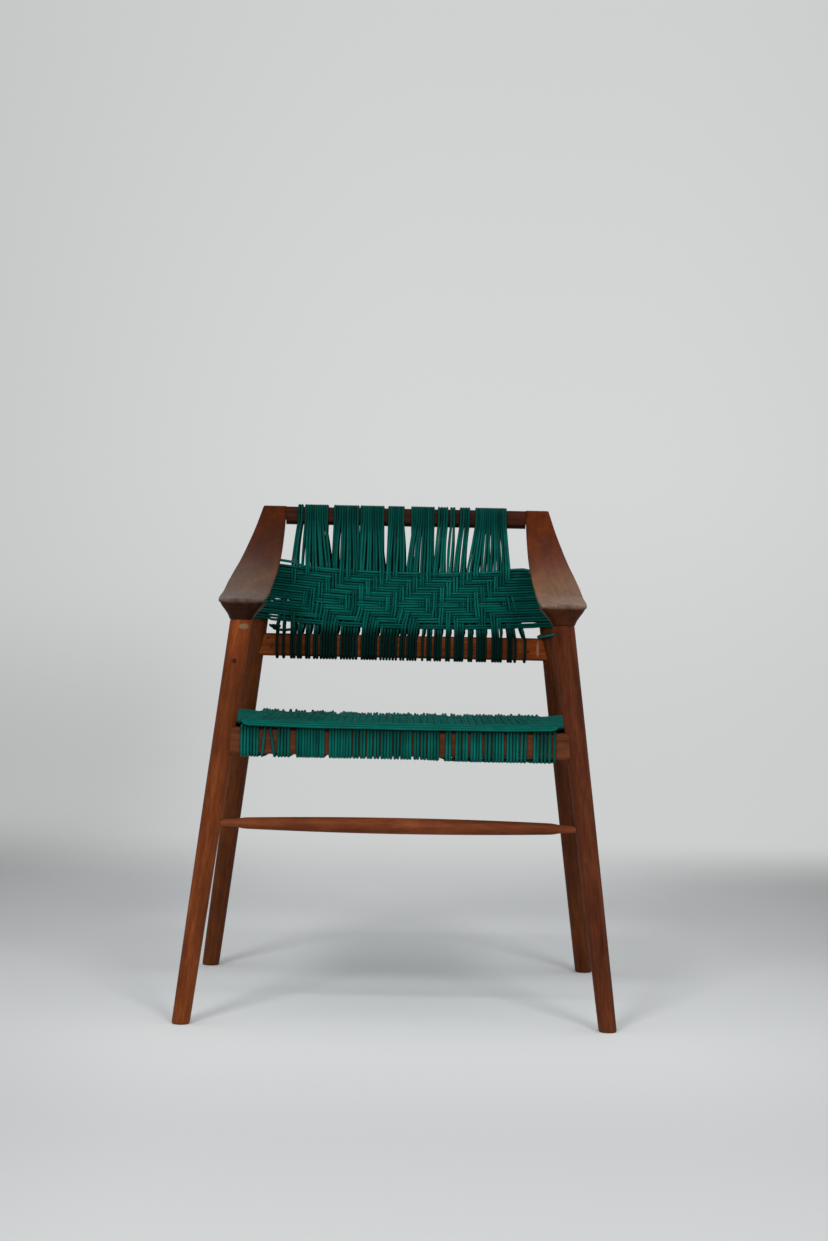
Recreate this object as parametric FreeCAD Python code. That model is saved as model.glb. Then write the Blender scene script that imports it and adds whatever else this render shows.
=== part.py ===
# Woven chair: a wooden armchair whose seat and back are wound and woven from green cord.
# Millimetres. +Z is up, the chair faces -Y, and X = 0 is its middle plane.
# Left and right are as seen by someone facing the chair, so left is -X.
# The origin lies on the floor, under the middle of the chair's box.

import FreeCAD, Part
import math
import os

Vector = FreeCAD.Vector

# Height of the chair; every height that ends in _level is a share of it
chair_height = 711.0

# Front legs: round, thickest under the arm, splayed outwards and forwards
front_foot_x = 281.0
front_foot_ahead = 251.0
front_leg_top_x = 215.5
front_leg_top_ahead = 204.0
front_foot_diameter = 24.0
front_leg_waist_diameter = 28.0
front_leg_top_diameter = 29.5

# Rear legs: round, leaning forwards up to the arms
rear_foot_x = 288.5
rear_foot_before_arm_end = 1.0
rear_leg_top_x = 206.5
rear_leg_top_arm_share = 0.805
rear_leg_top_level = 0.8917
rear_foot_diameter = 26.0
rear_leg_waist_diameter = 29.0
rear_leg_top_diameter = 28.0

# Height on both legs where the taper towards the foot begins
leg_waist_level = 0.4219

# Arms: flat paddles that leave the front legs nearly level and sweep up to the crest
arm_front_ahead = 231.0
arm_length = 482.0
arm_front_top_level = 0.7869
arm_rise_level = 0.2335
arm_inner_x = 184.0
arm_width = 65.0
arm_thickness = 20.0
arm_edge_height = 4.0
arm_corner_radius = 1.6
arm_crown = 1.2
arm_station_shares = (0.0, 0.033, 0.116, 0.251, 0.417, 0.573, 0.697, 0.811, 0.905, 1.0)
arm_rise_shares = (0.0, 0.007, 0.03, 0.08, 0.178, 0.286, 0.392, 0.539, 0.722, 1.0)
arm_width_shares = (0.915, 0.946, 0.989, 1.0, 1.0, 0.966, 0.908, 0.815, 0.685, 0.5)
arm_thickness_shares = (0.26, 0.55, 0.8, 0.95, 1.0, 1.07, 1.2, 1.4, 1.65, 2.0)
arm_bevel_share = 0.19
arm_bevel_hollow_share = 0.12
curve_shares = ((0.25, 0.75), (0.5, 1.0), (0.75, 0.75))

# Neck of the arm: the flare that meets the top of the front leg
neck_height = 22.0
neck_below_arm_top = 4.5
neck_top_width = 56.0
neck_top_front_reach = 25.0
neck_top_rear_reach = 52.0
neck_height_shares = (0.0, 0.28, 0.55, 0.82, 1.0)
neck_spread_shares = (0.0, 0.2, 0.5, 0.83, 1.0)

# Crest rail between the upper ends of the arms
crest_before_arm_end = 13.0
crest_depth = 24.0
crest_height = 27.0
crest_drop = 1.2
crest_round = 7.0

# Lower back rail between the rear legs
lower_rail_level = 0.6997
lower_rail_height = 34.0
lower_rail_depth = 20.0
lower_rail_round = 5.0

# Seat rails
seat_rail_top_level = 0.5485
seat_rail_height = 35.0
seat_rail_depth = 20.0
seat_rail_round = 5.0
side_rail_above_seat_rail = 5.0
side_rail_height = 24.0
side_rail_width = 18.0
side_rail_round = 6.0

# Front stretcher: a turned spindle
stretcher_level = 0.3699
stretcher_middle_diameter = 21.6
stretcher_shoulder_diameter = 15.0
stretcher_end_diameter = 10.0
stretcher_shoulder_x = 205.0
stretcher_neck_length = 14.0
stretcher_station_shares = (0.9, 0.75, 0.55, 0.3, 0.0)

# Joints
tenon_past_axis = 5.0
tenon_clearance = 0.15
tenon_end_gap = 1.0
rail_tenon_height = 14.0
rail_tenon_width = 9.0
tenon_inset = 2.0
leg_tenon_diameter = 16.0
front_leg_tenon_length = 18.0
rear_leg_tenon_length = 4.0
crest_tenon_length = 18.0
crest_tenon_height = 13.0
crest_tenon_width = 10.0

# Filled hole on the left front leg
plug_level = 0.6716
plug_diameter = 5.0
plug_depth = 7.0

# Cord, and how it is wound on the seat and the back
cord_diameter = 4.0
cord_gap = 0.4
seat_group_cords = (6, 1, 1, 4, 10, 8, 6, 22, 2, 4, 7, 4, 6, 7)
seat_gap_shares = (2.2, 0.9, 1.65, 1.5, 1.5, 0.3, 1.3, 2.0, 1.3, 0.5, 0.3, 0.8, 1.8)
back_group_cords = (2, 9, 9, 9, 6, 9, 4, 2, 4, 12)
back_gap_shares = (0.6, 2.1, 0.5, 1.6, 2.6, 1.3, 0.8, 1.8, 2.1)
crest_cords_left_by = 5.5
lower_cords_share = 0.9014
lower_cords_left_by = 1.5
seat_weft_end_gap = 4.5
weave_above_lower_rail = 14.5
weave_top_level = 0.8565
weave_pull = 12.0
bow_shares = (-0.88, -0.66, -0.44, -0.22, 0.0, 0.22, 0.44, 0.66, 0.88)

# Knot at the lower left of the back, and the single turn round the right rear leg
knot_diameter = 9.0
knot_tail_length = 14.0
knot_ball_shares = ((-0.97, 0.25), (-0.71, 0.71), (-0.26, 0.97), (0.26, 0.97), (0.71, 0.71), (0.97, 0.25))
knot_above_lower_rail = 9.5
turn_above_lower_rail = 6.8
turn_tilt = 5.0

# Flat sides that a round leg, stretcher, neck, knot or ring of cord is made with
round_sides = 36
small_round_sides = 16
wrap_sides = 6
octagon_share = math.tan(math.pi / 8)

# How far a cutting solid runs past what it cuts
overrun = 40.0

# Places that follow from the sizes above
arm_rear_y = arm_length - arm_front_ahead
rear_foot_y = arm_rear_y - rear_foot_before_arm_end
rear_leg_top_y = arm_length * rear_leg_top_arm_share - arm_front_ahead
crest_y = arm_rear_y - crest_before_arm_end
arm_front_top_z = chair_height * arm_front_top_level
arm_rise = chair_height * arm_rise_level
front_leg_top_z = arm_front_top_z - neck_below_arm_top - neck_height
rear_leg_top_z = chair_height * rear_leg_top_level
leg_waist_z = chair_height * leg_waist_level
lower_rail_z = chair_height * lower_rail_level
lower_rail_top_z = lower_rail_z + lower_rail_height / 2
seat_rail_top_z = chair_height * seat_rail_top_level
side_rail_top_z = seat_rail_top_z + side_rail_above_seat_rail
stretcher_z = chair_height * stretcher_level
plug_z = chair_height * plug_level
weave_bottom_z = lower_rail_top_z + weave_above_lower_rail
weave_top_z = chair_height * weave_top_level
knot_z = lower_rail_top_z + knot_above_lower_rail
turn_z = lower_rail_top_z + turn_above_lower_rail


def point_on_line(foot, top, height):
    """The point of a leg's axis at a height above the floor."""
    share = (height - foot.z) / (top.z - foot.z)
    return foot + (top - foot) * share


def mirrored(shape):
    """The same piece for the other side of the chair."""
    return shape.mirror(Vector(0, 0, 0), Vector(1, 0, 0))


def turned(start, along, profile, sides):
    """A turned piece: (distance, radius) pairs along a line, made with flat sides."""
    place = FreeCAD.Placement(start, FreeCAD.Rotation(Vector(0, 0, 1), along))
    sections = []
    for distance, radius in profile:
        corners = []
        for index in range(sides + 1):
            angle = 2 * math.pi * (index % sides) / sides
            corner = Vector(radius * math.cos(angle), radius * math.sin(angle), distance)
            corners.append(place.multVec(corner))
        sections.append(Part.makePolygon(corners))
    return Part.makeLoft(sections, True, True)


def leg_body(foot, top, foot_diameter, waist_diameter, top_diameter):
    """A straight tapered round leg, cut level where it stands on the floor and at its top."""
    length = (top - foot).Length
    waist = (point_on_line(foot, top, leg_waist_z) - foot).Length
    low_slope = (waist_diameter - foot_diameter) / waist
    high_slope = (top_diameter - waist_diameter) / (length - waist)
    profile = [
        (-overrun, foot_diameter / 2 - low_slope * overrun / 2),
        (waist, waist_diameter / 2),
        (length + overrun, top_diameter / 2 + high_slope * overrun / 2),
    ]
    body = turned(foot, top - foot, profile, round_sides)
    reach = foot.Length + overrun
    standing = Part.makeBox(reach * 2, reach * 2, top.z)
    standing.translate(Vector(-reach, -reach, 0))
    return body.common(standing)


def peg(start, end, diameter, length, back=0.0):
    """A round tenon that continues the line from start to end by a length."""
    along = (end - start).normalize()
    base = end - along * back
    return Part.makeCylinder(diameter / 2, length + back, base, along)


def rounded_outline(half_width, half_height, radius, place):
    """Closed outline of a rounded rectangle; place turns (u, v) into a point in space."""
    diagonal = radius * (1 - math.sqrt(0.5))
    edges = []
    for sign_u, sign_v in ((1, 1), (-1, 1), (-1, -1), (1, -1)):
        side = place(sign_u * half_width, sign_v * (half_height - radius))
        corner = place(sign_u * (half_width - diagonal), sign_v * (half_height - diagonal))
        end = place(sign_u * (half_width - radius), sign_v * half_height)
        arc = (side, corner, end) if sign_u * sign_v > 0 else (end, corner, side)
        if edges:
            edges.append(Part.makeLine(edges[-1].lastVertex(True).Point, arc[0]))
        edges.append(Part.Arc(*arc).toShape())
    edges.append(Part.makeLine(edges[-1].lastVertex(True).Point, edges[0].firstVertex(True).Point))
    return Part.Wire(edges)


def rail_body(start, end, width, height, radius):
    """A straight rail with rounded long edges; start and end are its centre line."""
    along = (end - start).normalize()
    side = along.cross(Vector(0, 0, 1)).normalize()
    up = Vector(0, 0, 1)
    outline = rounded_outline(width / 2, height / 2, radius, lambda u, v: start + side * u + up * v)
    return Part.Face(outline).extrude(end - start)


def tenon_block(start, end, centre_z, width, height, past, grow=0.0, end_gap=0.0):
    """A flat tenon that runs along a rail and past both of its ends."""
    along = (end - start).normalize()
    side = along.cross(Vector(0, 0, 1)).normalize()
    reach = past + end_gap
    first = Vector(start.x, start.y, centre_z) - along * reach
    half_width = width / 2 + grow
    half_height = height / 2 + grow
    corners = []
    for u, v in ((-1, -1), (1, -1), (1, 1), (-1, 1), (-1, -1)):
        corners.append(first + side * (u * half_width) + Vector(0, 0, v * half_height))
    length = (end - start).Length + reach * 2
    return Part.Face(Part.makePolygon(corners)).extrude(along * length)


def frame_rail(start, end, width, height, radius, tenon_z, legs):
    """A rail scribed to two round legs, with a tenon into each; also returns its mortise."""
    body = rail_body(start, end, width, height, radius)
    tenon = tenon_block(start, end, tenon_z, rail_tenon_width, rail_tenon_height, tenon_past_axis)
    mortise = tenon_block(
        start, end, tenon_z, rail_tenon_width, rail_tenon_height,
        tenon_past_axis, tenon_clearance, tenon_end_gap,
    )
    for leg in legs:
        body = body.cut(leg)
    return body.fuse(tenon).removeSplitter(), mortise


def bevel_line(start, end, hollow):
    """Points between two corners of an arm's section, drawn in by a hollow."""
    points = []
    for share, depth in curve_shares:
        x = start[0] + (end[0] - start[0]) * share
        z = start[1] + (end[1] - start[1]) * share
        inward = math.copysign(hollow * depth, end[0] - start[0])
        points.append((x + inward, z + hollow * depth))
    return points


def arm_section(y, top, width, thickness):
    """One upright slice across the right arm: crowned top, thin edge, hollow bevels below."""
    inner = arm_inner_x
    outer = arm_inner_x + width
    bevel = arm_bevel_share * width
    hollow = arm_bevel_hollow_share * bevel
    cut_in = arm_corner_radius * (1 - math.sqrt(0.5))
    low = top - thickness
    edge_low = top - arm_edge_height
    crown = []
    for share, rise in curve_shares:
        crown.append((inner + width * share, top + arm_crown * rise))
    points = [
        (inner, edge_low),
        (inner, top - arm_corner_radius),
        (inner + cut_in, top - cut_in),
        (inner + arm_corner_radius, top),
    ]
    points += crown
    points += [
        (outer - arm_corner_radius, top),
        (outer - cut_in, top - cut_in),
        (outer, top - arm_corner_radius),
        (outer, edge_low),
    ]
    points += bevel_line((outer, edge_low), (outer - bevel, low), hollow)
    points += [(outer - bevel, low), (inner + bevel, low)]
    points += bevel_line((inner, edge_low), (inner + bevel, low), hollow)[::-1]
    return closed_wire(points, lambda x, z: Vector(x, y, z))


def arm_blade():
    """The sweeping blade of the right arm, trimmed level at the height of the chair."""
    sections = []
    shares = zip(arm_station_shares, arm_rise_shares, arm_width_shares, arm_thickness_shares)
    for along, rise, width, thickness in shares:
        y = arm_length * along - arm_front_ahead
        top = arm_front_top_z + arm_rise * rise
        sections.append(arm_section(y, top, arm_width * width, arm_thickness * thickness))
    blade = Part.makeLoft(sections, True, False)
    above = Part.makeBox(arm_width * 2, arm_length + overrun * 2, arm_rise)
    above.translate(Vector(arm_inner_x - arm_width / 2, -arm_front_ahead - overrun, chair_height))
    return blade.cut(above)


def arm_neck(leg_top):
    """The hollow flare from the round top of the front leg to the underside of the blade."""
    radius = front_leg_top_diameter / 2
    blade_middle = arm_inner_x + arm_width * arm_width_shares[0] / 2
    sections = []
    for height, spread in zip(neck_height_shares, neck_spread_shares):
        half_x = radius + (neck_top_width / 2 - radius) * spread
        front = radius + (neck_top_front_reach - radius) * spread
        rear = radius + (neck_top_rear_reach - radius) * spread
        half_y = (front + rear) / 2
        centre = Vector(
            leg_top.x + (blade_middle - leg_top.x) * spread,
            leg_top.y + (rear - front) / 2,
            leg_top.z + neck_height * height,
        )
        corners = []
        for index in range(small_round_sides * 2):
            angle = math.pi * index / small_round_sides
            corners.append((half_x * math.cos(angle), half_y * math.sin(angle)))
        sections.append(closed_wire(corners, lambda u, v: centre + Vector(u, v, 0)))
    return Part.makeLoft(sections, True, False)


def stretcher_body(left, right):
    """A turned spindle: thin at the legs, quickly swelling to a shoulder, thickest midway."""
    half = (right - left).Length / 2
    swell = (stretcher_middle_diameter - stretcher_shoulder_diameter) / 2
    side = [
        (half + tenon_past_axis, stretcher_end_diameter / 2),
        (stretcher_shoulder_x + stretcher_neck_length, stretcher_end_diameter / 2),
        (stretcher_shoulder_x, stretcher_shoulder_diameter / 2),
    ]
    for share in stretcher_station_shares:
        radius = stretcher_middle_diameter / 2 - swell * share ** 2
        side.append((stretcher_shoulder_x * share, radius))
    profile = [(half - distance, radius) for distance, radius in side]
    profile += [(half + distance, radius) for distance, radius in side[-2::-1]]
    return turned(left, right - left, profile, round_sides)


def belt_corner(centre_u, centre_v, half_u, half_v, radius, side_u, side_v):
    """Two points of a cord belt that rounds one corner of a rail's section."""
    reach_u = half_u + cord_gap
    reach_v = half_v + cord_gap
    cut_off = (radius + cord_gap) / 2
    beside = (centre_u + side_u * reach_u, centre_v + side_v * (reach_v - cut_off))
    beyond = (centre_u + side_u * (reach_u - cut_off), centre_v + side_v * reach_v)
    return (beside, beyond) if side_u * side_v > 0 else (beyond, beside)


def offset_outline(points, distance):
    """Move every side of a closed counter-clockwise outline outwards by a distance."""
    moved = []
    count = len(points)
    for index in range(count):
        before = points[index - 1]
        here = points[index]
        after = points[(index + 1) % count]
        first = (here[0] - before[0], here[1] - before[1])
        second = (after[0] - here[0], after[1] - here[1])
        first_length = math.hypot(*first)
        second_length = math.hypot(*second)
        normal_a = (first[1] / first_length, -first[0] / first_length)
        normal_b = (second[1] / second_length, -second[0] / second_length)
        share = distance / (1 + normal_a[0] * normal_b[0] + normal_a[1] * normal_b[1])
        moved.append((
            here[0] + (normal_a[0] + normal_b[0]) * share,
            here[1] + (normal_a[1] + normal_b[1]) * share,
        ))
    return moved


def closed_wire(points, place):
    """Closed polygon through (u, v) points; place turns each into a point in space."""
    corners = [place(u, v) for u, v in points]
    return Part.makePolygon(corners + corners[:1])


def belt_face(points, place):
    """Flat ring, one cord thick, whose inside is the given outline."""
    outer = Part.Face(closed_wire(offset_outline(points, cord_diameter), place))
    inner = Part.Face(closed_wire(points, place))
    return outer.cut(inner)


def group_spans(counts, gap_shares, shift):
    """Left and right ends of each group of cords lying side by side, centred on a shift."""
    gaps = [share * cord_diameter for share in gap_shares] + [0.0]
    total = sum(counts) * cord_diameter + sum(gaps)
    spans = []
    left = shift - total / 2
    for count, gap in zip(counts, gaps):
        right = left + count * cord_diameter
        spans.append((left, right))
        left = right + gap
    return spans


def spread_spans(counts, width, shift):
    """The same groups spread evenly over a width, each centred in its own part of it."""
    pitch = width / sum(counts)
    spans = []
    left = shift - width / 2
    for count in counts:
        middle = left + count * pitch / 2
        half = count * cord_diameter / 2
        spans.append((middle - half, middle + half))
        left += count * pitch
    return spans


def seat_warp_cords(front_rail, rear_rail):
    """Groups of cord wound front to back round the front and rear seat rails."""
    half_depth = seat_rail_depth / 2
    half_height = seat_rail_height / 2
    outline = []
    for centre, side_y, side_z in (
        (rear_rail, 1, -1), (rear_rail, 1, 1), (front_rail, -1, 1), (front_rail, -1, -1),
    ):
        outline += belt_corner(
            centre.y, centre.z, half_depth, half_height, seat_rail_round, side_y, side_z,
        )
    solids = []
    for left, right in group_spans(seat_group_cords, seat_gap_shares, 0.0):
        face = belt_face(outline, lambda y, z: Vector(left, y, z))
        solids.append(face.extrude(Vector(right - left, 0, 0)))
    return Part.makeCompound(solids)


def side_rail_outline(half_span):
    """Inside of the seat's cross cords: one outline round both side rails."""
    centre_z = side_rail_top_z - side_rail_height / 2
    outline = []
    for side_x, side_z in ((1, -1), (1, 1), (-1, 1), (-1, -1)):
        outline += belt_corner(
            side_x * half_span, centre_z, side_rail_width / 2, side_rail_height / 2,
            side_rail_round, side_x, side_z,
        )
    return outline


def seat_weft_cords(rail_front, rail_rear):
    """Cords wound side to side round the side rails, lying over the front-to-back cords."""
    front_radius = front_leg_top_diameter / 2
    rear_radius = rear_leg_waist_diameter / 2
    along = (rail_rear - rail_front).normalize()
    near = rail_front + along * (front_radius + seat_weft_end_gap)
    far = rail_rear - along * (rear_radius + seat_weft_end_gap)
    wires = []
    for grow in (cord_diameter, 0.0):
        pair = []
        for end in (near, far):
            outline = side_rail_outline(end.x)
            if grow:
                outline = offset_outline(outline, grow)
            pair.append(closed_wire(outline, lambda x, z: Vector(x, end.y, z)))
        wires.append(Part.makeLoft(pair, True, True))
    return wires[0].cut(wires[1])


def back_run(x, half_span, side_y, middle_y):
    """Depth of a cross cord of the back, which bows between the rear legs."""
    return middle_y - (middle_y - side_y) * (x / half_span) ** 2


def back_levels(rear_foot, rear_top, crest, lower):
    """Where the woven band meets the legs and its middle, at its bottom and its top."""
    reach = rear_leg_waist_diameter / 2 + cord_gap
    low_z = lower_rail_top_z
    high_z = crest.z - crest_height / 2
    levels = []
    for height, pull in ((weave_bottom_z, 0.0), (weave_top_z, weave_pull)):
        leg = point_on_line(rear_foot, rear_top, height)
        share = (height - low_z) / (high_z - low_z)
        front_low = lower.y - lower_rail_depth / 2 - cord_gap
        rear_low = lower.y + lower_rail_depth / 2 + cord_gap
        front_high = crest.y - crest_depth / 2 - cord_gap
        rear_high = crest.y + crest_depth / 2 + cord_gap
        clear = cord_diameter + cord_gap * 2
        levels.append({
            "z": height,
            "leg": leg,
            "reach": reach,
            "front": front_low + (front_high - front_low) * share - pull - clear,
            "rear": rear_low + (rear_high - rear_low) * share - pull + clear,
        })
    return levels


def back_weft_outline(level):
    """Inside of the woven band at one height: round both rear legs, bowed back between them."""
    leg = level["leg"]
    reach = level["reach"]
    wrap = reach / math.cos(math.pi / (2 * wrap_sides))
    front = []
    rear = []
    for share in bow_shares:
        x = leg.x * share
        front.append((x, back_run(x, leg.x, leg.y - reach, level["front"])))
        rear.append((x, back_run(x, leg.x, leg.y + reach, level["rear"])))
    right = []
    for step in range(wrap_sides + 1):
        angle = math.pi * (2 * step - wrap_sides - 1) / (2 * wrap_sides)
        right.append((leg.x + wrap * math.cos(angle), leg.y + wrap * math.sin(angle)))
    left = [(-x, y) for x, y in right[::-1]]
    return front + right + rear[::-1] + left


def back_weft_cords(levels):
    """The woven band of the back: cords wound side to side round both rear legs."""
    solids = []
    for grow in (cord_diameter, 0.0):
        wires = []
        for level in levels:
            outline = back_weft_outline(level)
            if grow:
                outline = offset_outline(outline, grow)
            wires.append(closed_wire(outline, lambda x, y: Vector(x, y, level["z"])))
        solids.append(Part.makeLoft(wires, True, True))
    return solids[0].cut(solids[1])


def back_warp_band(crest, lower, levels, top_span, low_span):
    """One group of upright cords wound round the crest rail and the lower back rail."""
    outline = []
    lower_half = (lower_rail_depth / 2, lower_rail_height / 2, lower_rail_round)
    crest_half = (crest_depth / 2, crest_height / 2, crest_round)
    inner_x = min(abs(edge) for edge in top_span + low_span)
    if top_span[0] * top_span[1] < 0:
        inner_x = 0.0
    outer_x = max(abs(edge) for edge in top_span + low_span)
    clear = cord_diameter + cord_gap * 2
    front = []
    rear = []
    for level in levels:
        leg = level["leg"]
        front_side = leg.y - level["reach"]
        rear_side = leg.y + level["reach"]
        front.append((back_run(inner_x, leg.x, front_side, level["front"]) + clear, level["z"]))
        rear.append((back_run(outer_x, leg.x, rear_side, level["rear"]) - clear, level["z"]))
    outline += belt_corner(lower.y, lower_rail_z, *lower_half, -1, -1)
    outline += belt_corner(lower.y, lower_rail_z, *lower_half, 1, -1)
    outline += [belt_corner(lower.y, lower_rail_z, *lower_half, 1, 1)[0]]
    outline += rear
    outline += belt_corner(crest.y, crest.z, *crest_half, 1, -1)
    outline += belt_corner(crest.y, crest.z, *crest_half, 1, 1)
    outline += belt_corner(crest.y, crest.z, *crest_half, -1, 1)
    outline += [belt_corner(crest.y, crest.z, *crest_half, -1, -1)[0]]
    outline += front[::-1]
    outline += [belt_corner(lower.y, lower_rail_z, *lower_half, -1, 1)[1]]
    reach = max(abs(edge) for edge in top_span + low_span) + overrun
    ring = belt_face(outline, lambda y, z: Vector(-reach, y, z)).extrude(Vector(reach * 2, 0, 0))
    top_z = chair_height + overrun
    low_z = lower_rail_z - lower_rail_height
    slant = Part.makePolygon([
        Vector(low_span[0], -overrun, low_z),
        Vector(low_span[1], -overrun, low_z),
        Vector(top_span[1], -overrun, top_z),
        Vector(top_span[0], -overrun, top_z),
        Vector(low_span[0], -overrun, low_z),
    ])
    curtain = Part.Face(slant).extrude(Vector(0, crest.y * 2, 0))
    return ring.common(curtain)


def lower_cords_width(lower_end_x):
    """Width over which the upright cords spread on the lower rail, between the rear legs."""
    return (lower_end_x * 2 - rear_leg_waist_diameter) * lower_cords_share


def back_warp_cords(crest, lower, levels, width):
    """All the upright groups: bunched on the crest rail, spread out on the lower rail."""
    top_spans = group_spans(back_group_cords, back_gap_shares, -crest_cords_left_by)
    low_spans = spread_spans(back_group_cords, width, -lower_cords_left_by)
    solids = []
    for top_span, low_span in zip(top_spans, low_spans):
        solids += back_warp_band(crest, lower, levels, top_span, low_span).Solids
    return Part.makeCompound(solids)


def cord_knot(lower, width):
    """A small knot in front of the first upright cords, with its cut tail to the left."""
    first_left = -lower_cords_left_by - width / 2
    y = lower.y - lower_rail_depth / 2 - cord_gap * 2 - cord_diameter - knot_diameter / 2
    centre = Vector(first_left + knot_diameter / 2, y, knot_z)
    radius = knot_diameter / 2
    profile = [(radius * along, radius * share) for along, share in knot_ball_shares]
    knot = turned(centre, Vector(-1, 0, 0), profile, small_round_sides)
    tail = [(0, cord_diameter / 2), (knot_tail_length, cord_diameter / 2)]
    return knot.fuse(turned(centre, Vector(-1, 0, 0), tail, small_round_sides)).removeSplitter()


def loose_turn(rear_foot, rear_top):
    """One slanting turn of cord round the right rear leg, below the woven band."""
    centre = point_on_line(rear_foot, rear_top, turn_z)
    lean = math.radians(turn_tilt)
    inner_radius = (rear_leg_waist_diameter / 2 + cord_gap * 2) / math.cos(lean)
    middle = inner_radius + cord_diameter / 2
    axis = (rear_top - rear_foot).normalize() + Vector(-math.sin(lean), 0, 0)
    half = cord_diameter / 2
    flat = half * octagon_share
    outer = [(-half, middle + flat), (-flat, middle + half), (flat, middle + half), (half, middle + flat)]
    inner = [(-half, middle - flat), (-flat, middle - half), (flat, middle - half), (half, middle - flat)]
    ring = turned(centre, axis, outer, round_sides)
    return ring.cut(turned(centre, axis, inner, round_sides))


def build():
    """All the nodes of the chair by name."""
    nodes = {}

    front_foot = Vector(front_foot_x, -front_foot_ahead, 0)
    front_top = Vector(front_leg_top_x, -front_leg_top_ahead, front_leg_top_z)
    rear_foot = Vector(rear_foot_x, rear_foot_y, 0)
    rear_top = Vector(rear_leg_top_x, rear_leg_top_y, rear_leg_top_z)
    front_leg = leg_body(
        front_foot, front_top,
        front_foot_diameter, front_leg_waist_diameter, front_leg_top_diameter,
    )
    rear_leg = leg_body(
        rear_foot, rear_top, rear_foot_diameter, rear_leg_waist_diameter, rear_leg_top_diameter,
    )
    front_leg_left = mirrored(front_leg)
    rear_leg_left = mirrored(rear_leg)

    def flipped(point):
        return Vector(-point.x, point.y, point.z)

    # Seat frame: side rail tenons sit above those of the front and rear rails
    seat_rail_z = seat_rail_top_z - seat_rail_height / 2
    side_rail_z = side_rail_top_z - side_rail_height / 2
    low_tenon_z = seat_rail_top_z - seat_rail_height + tenon_inset + rail_tenon_height / 2
    high_tenon_z = side_rail_top_z - tenon_inset - rail_tenon_height / 2
    front_rail_end = point_on_line(front_foot, front_top, seat_rail_z)
    rear_rail_end = point_on_line(rear_foot, rear_top, seat_rail_z)
    side_rail_front = point_on_line(front_foot, front_top, side_rail_z)
    side_rail_rear = point_on_line(rear_foot, rear_top, side_rail_z)
    nodes["seat_front_rail"], front_mortise = frame_rail(
        flipped(front_rail_end), front_rail_end, seat_rail_depth, seat_rail_height,
        seat_rail_round, low_tenon_z, (front_leg, front_leg_left),
    )
    nodes["seat_rear_rail"], rear_mortise = frame_rail(
        flipped(rear_rail_end), rear_rail_end, seat_rail_depth, seat_rail_height,
        seat_rail_round, low_tenon_z, (rear_leg, rear_leg_left),
    )
    side_rail, side_mortise = frame_rail(
        side_rail_front, side_rail_rear, side_rail_width, side_rail_height,
        side_rail_round, high_tenon_z, (front_leg, rear_leg),
    )
    nodes["seat_side_rail_right"] = side_rail
    nodes["seat_side_rail_left"] = mirrored(side_rail)

    # Lower back rail
    lower_end = point_on_line(rear_foot, rear_top, lower_rail_z)
    nodes["lower_back_rail"], lower_mortise = frame_rail(
        flipped(lower_end), lower_end, lower_rail_depth, lower_rail_height,
        lower_rail_round, lower_rail_z, (rear_leg, rear_leg_left),
    )

    # Front stretcher
    stretcher_end = point_on_line(front_foot, front_top, stretcher_z)
    nodes["front_stretcher"] = stretcher_body(flipped(stretcher_end), stretcher_end)
    stretcher_bore = peg(
        Vector(0, stretcher_end.y, stretcher_z), stretcher_end,
        stretcher_end_diameter + tenon_clearance * 2, tenon_past_axis + tenon_end_gap,
        front_leg_top_diameter,
    )

    # Arms, with blind holes for the round tenons of both legs and a mortise for the crest
    arm = arm_blade().fuse(arm_neck(front_top)).removeSplitter()
    rear_leg_scribed = rear_leg.cut(arm)
    front_hole = peg(
        front_foot, front_top, leg_tenon_diameter + tenon_clearance * 2,
        front_leg_tenon_length + tenon_end_gap, leg_tenon_diameter,
    )
    rear_hole = peg(
        rear_foot, rear_top, leg_tenon_diameter + tenon_clearance * 2,
        rear_leg_tenon_length + tenon_end_gap, arm_thickness * 2,
    )
    crest_z = chair_height - crest_drop - crest_height / 2
    crest_left = Vector(-arm_inner_x, crest_y, crest_z)
    crest_right = Vector(arm_inner_x, crest_y, crest_z)
    crest_body = rail_body(crest_left, crest_right, crest_depth, crest_height, crest_round)
    crest_tenon = tenon_block(
        crest_left, crest_right, crest_z, crest_tenon_width, crest_tenon_height, crest_tenon_length,
    )
    crest_mortise = tenon_block(
        crest_left, crest_right, crest_z, crest_tenon_width, crest_tenon_height,
        crest_tenon_length, tenon_clearance, tenon_end_gap,
    )
    nodes["crest_rail"] = crest_body.fuse(crest_tenon).removeSplitter()
    arm = arm.cut(front_hole).cut(rear_hole).cut(crest_mortise)
    nodes["arm_right"] = arm
    nodes["arm_left"] = mirrored(arm)

    # Legs, mortised for the rails and the stretcher
    front_tenon = peg(
        front_foot, front_top, leg_tenon_diameter, front_leg_tenon_length, leg_tenon_diameter,
    )
    rear_tenon = peg(
        rear_foot, rear_top, leg_tenon_diameter, rear_leg_tenon_length, arm_thickness * 2,
    )
    front_leg = front_leg.cut(front_mortise).cut(side_mortise).cut(stretcher_bore)
    front_leg = front_leg.fuse(front_tenon).removeSplitter()
    rear_leg = rear_leg_scribed.cut(rear_mortise).cut(side_mortise).cut(lower_mortise)
    rear_leg = rear_leg.fuse(rear_tenon).removeSplitter()
    nodes["front_leg_right"] = front_leg
    nodes["rear_leg_right"] = rear_leg
    nodes["rear_leg_left"] = mirrored(rear_leg)

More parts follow.
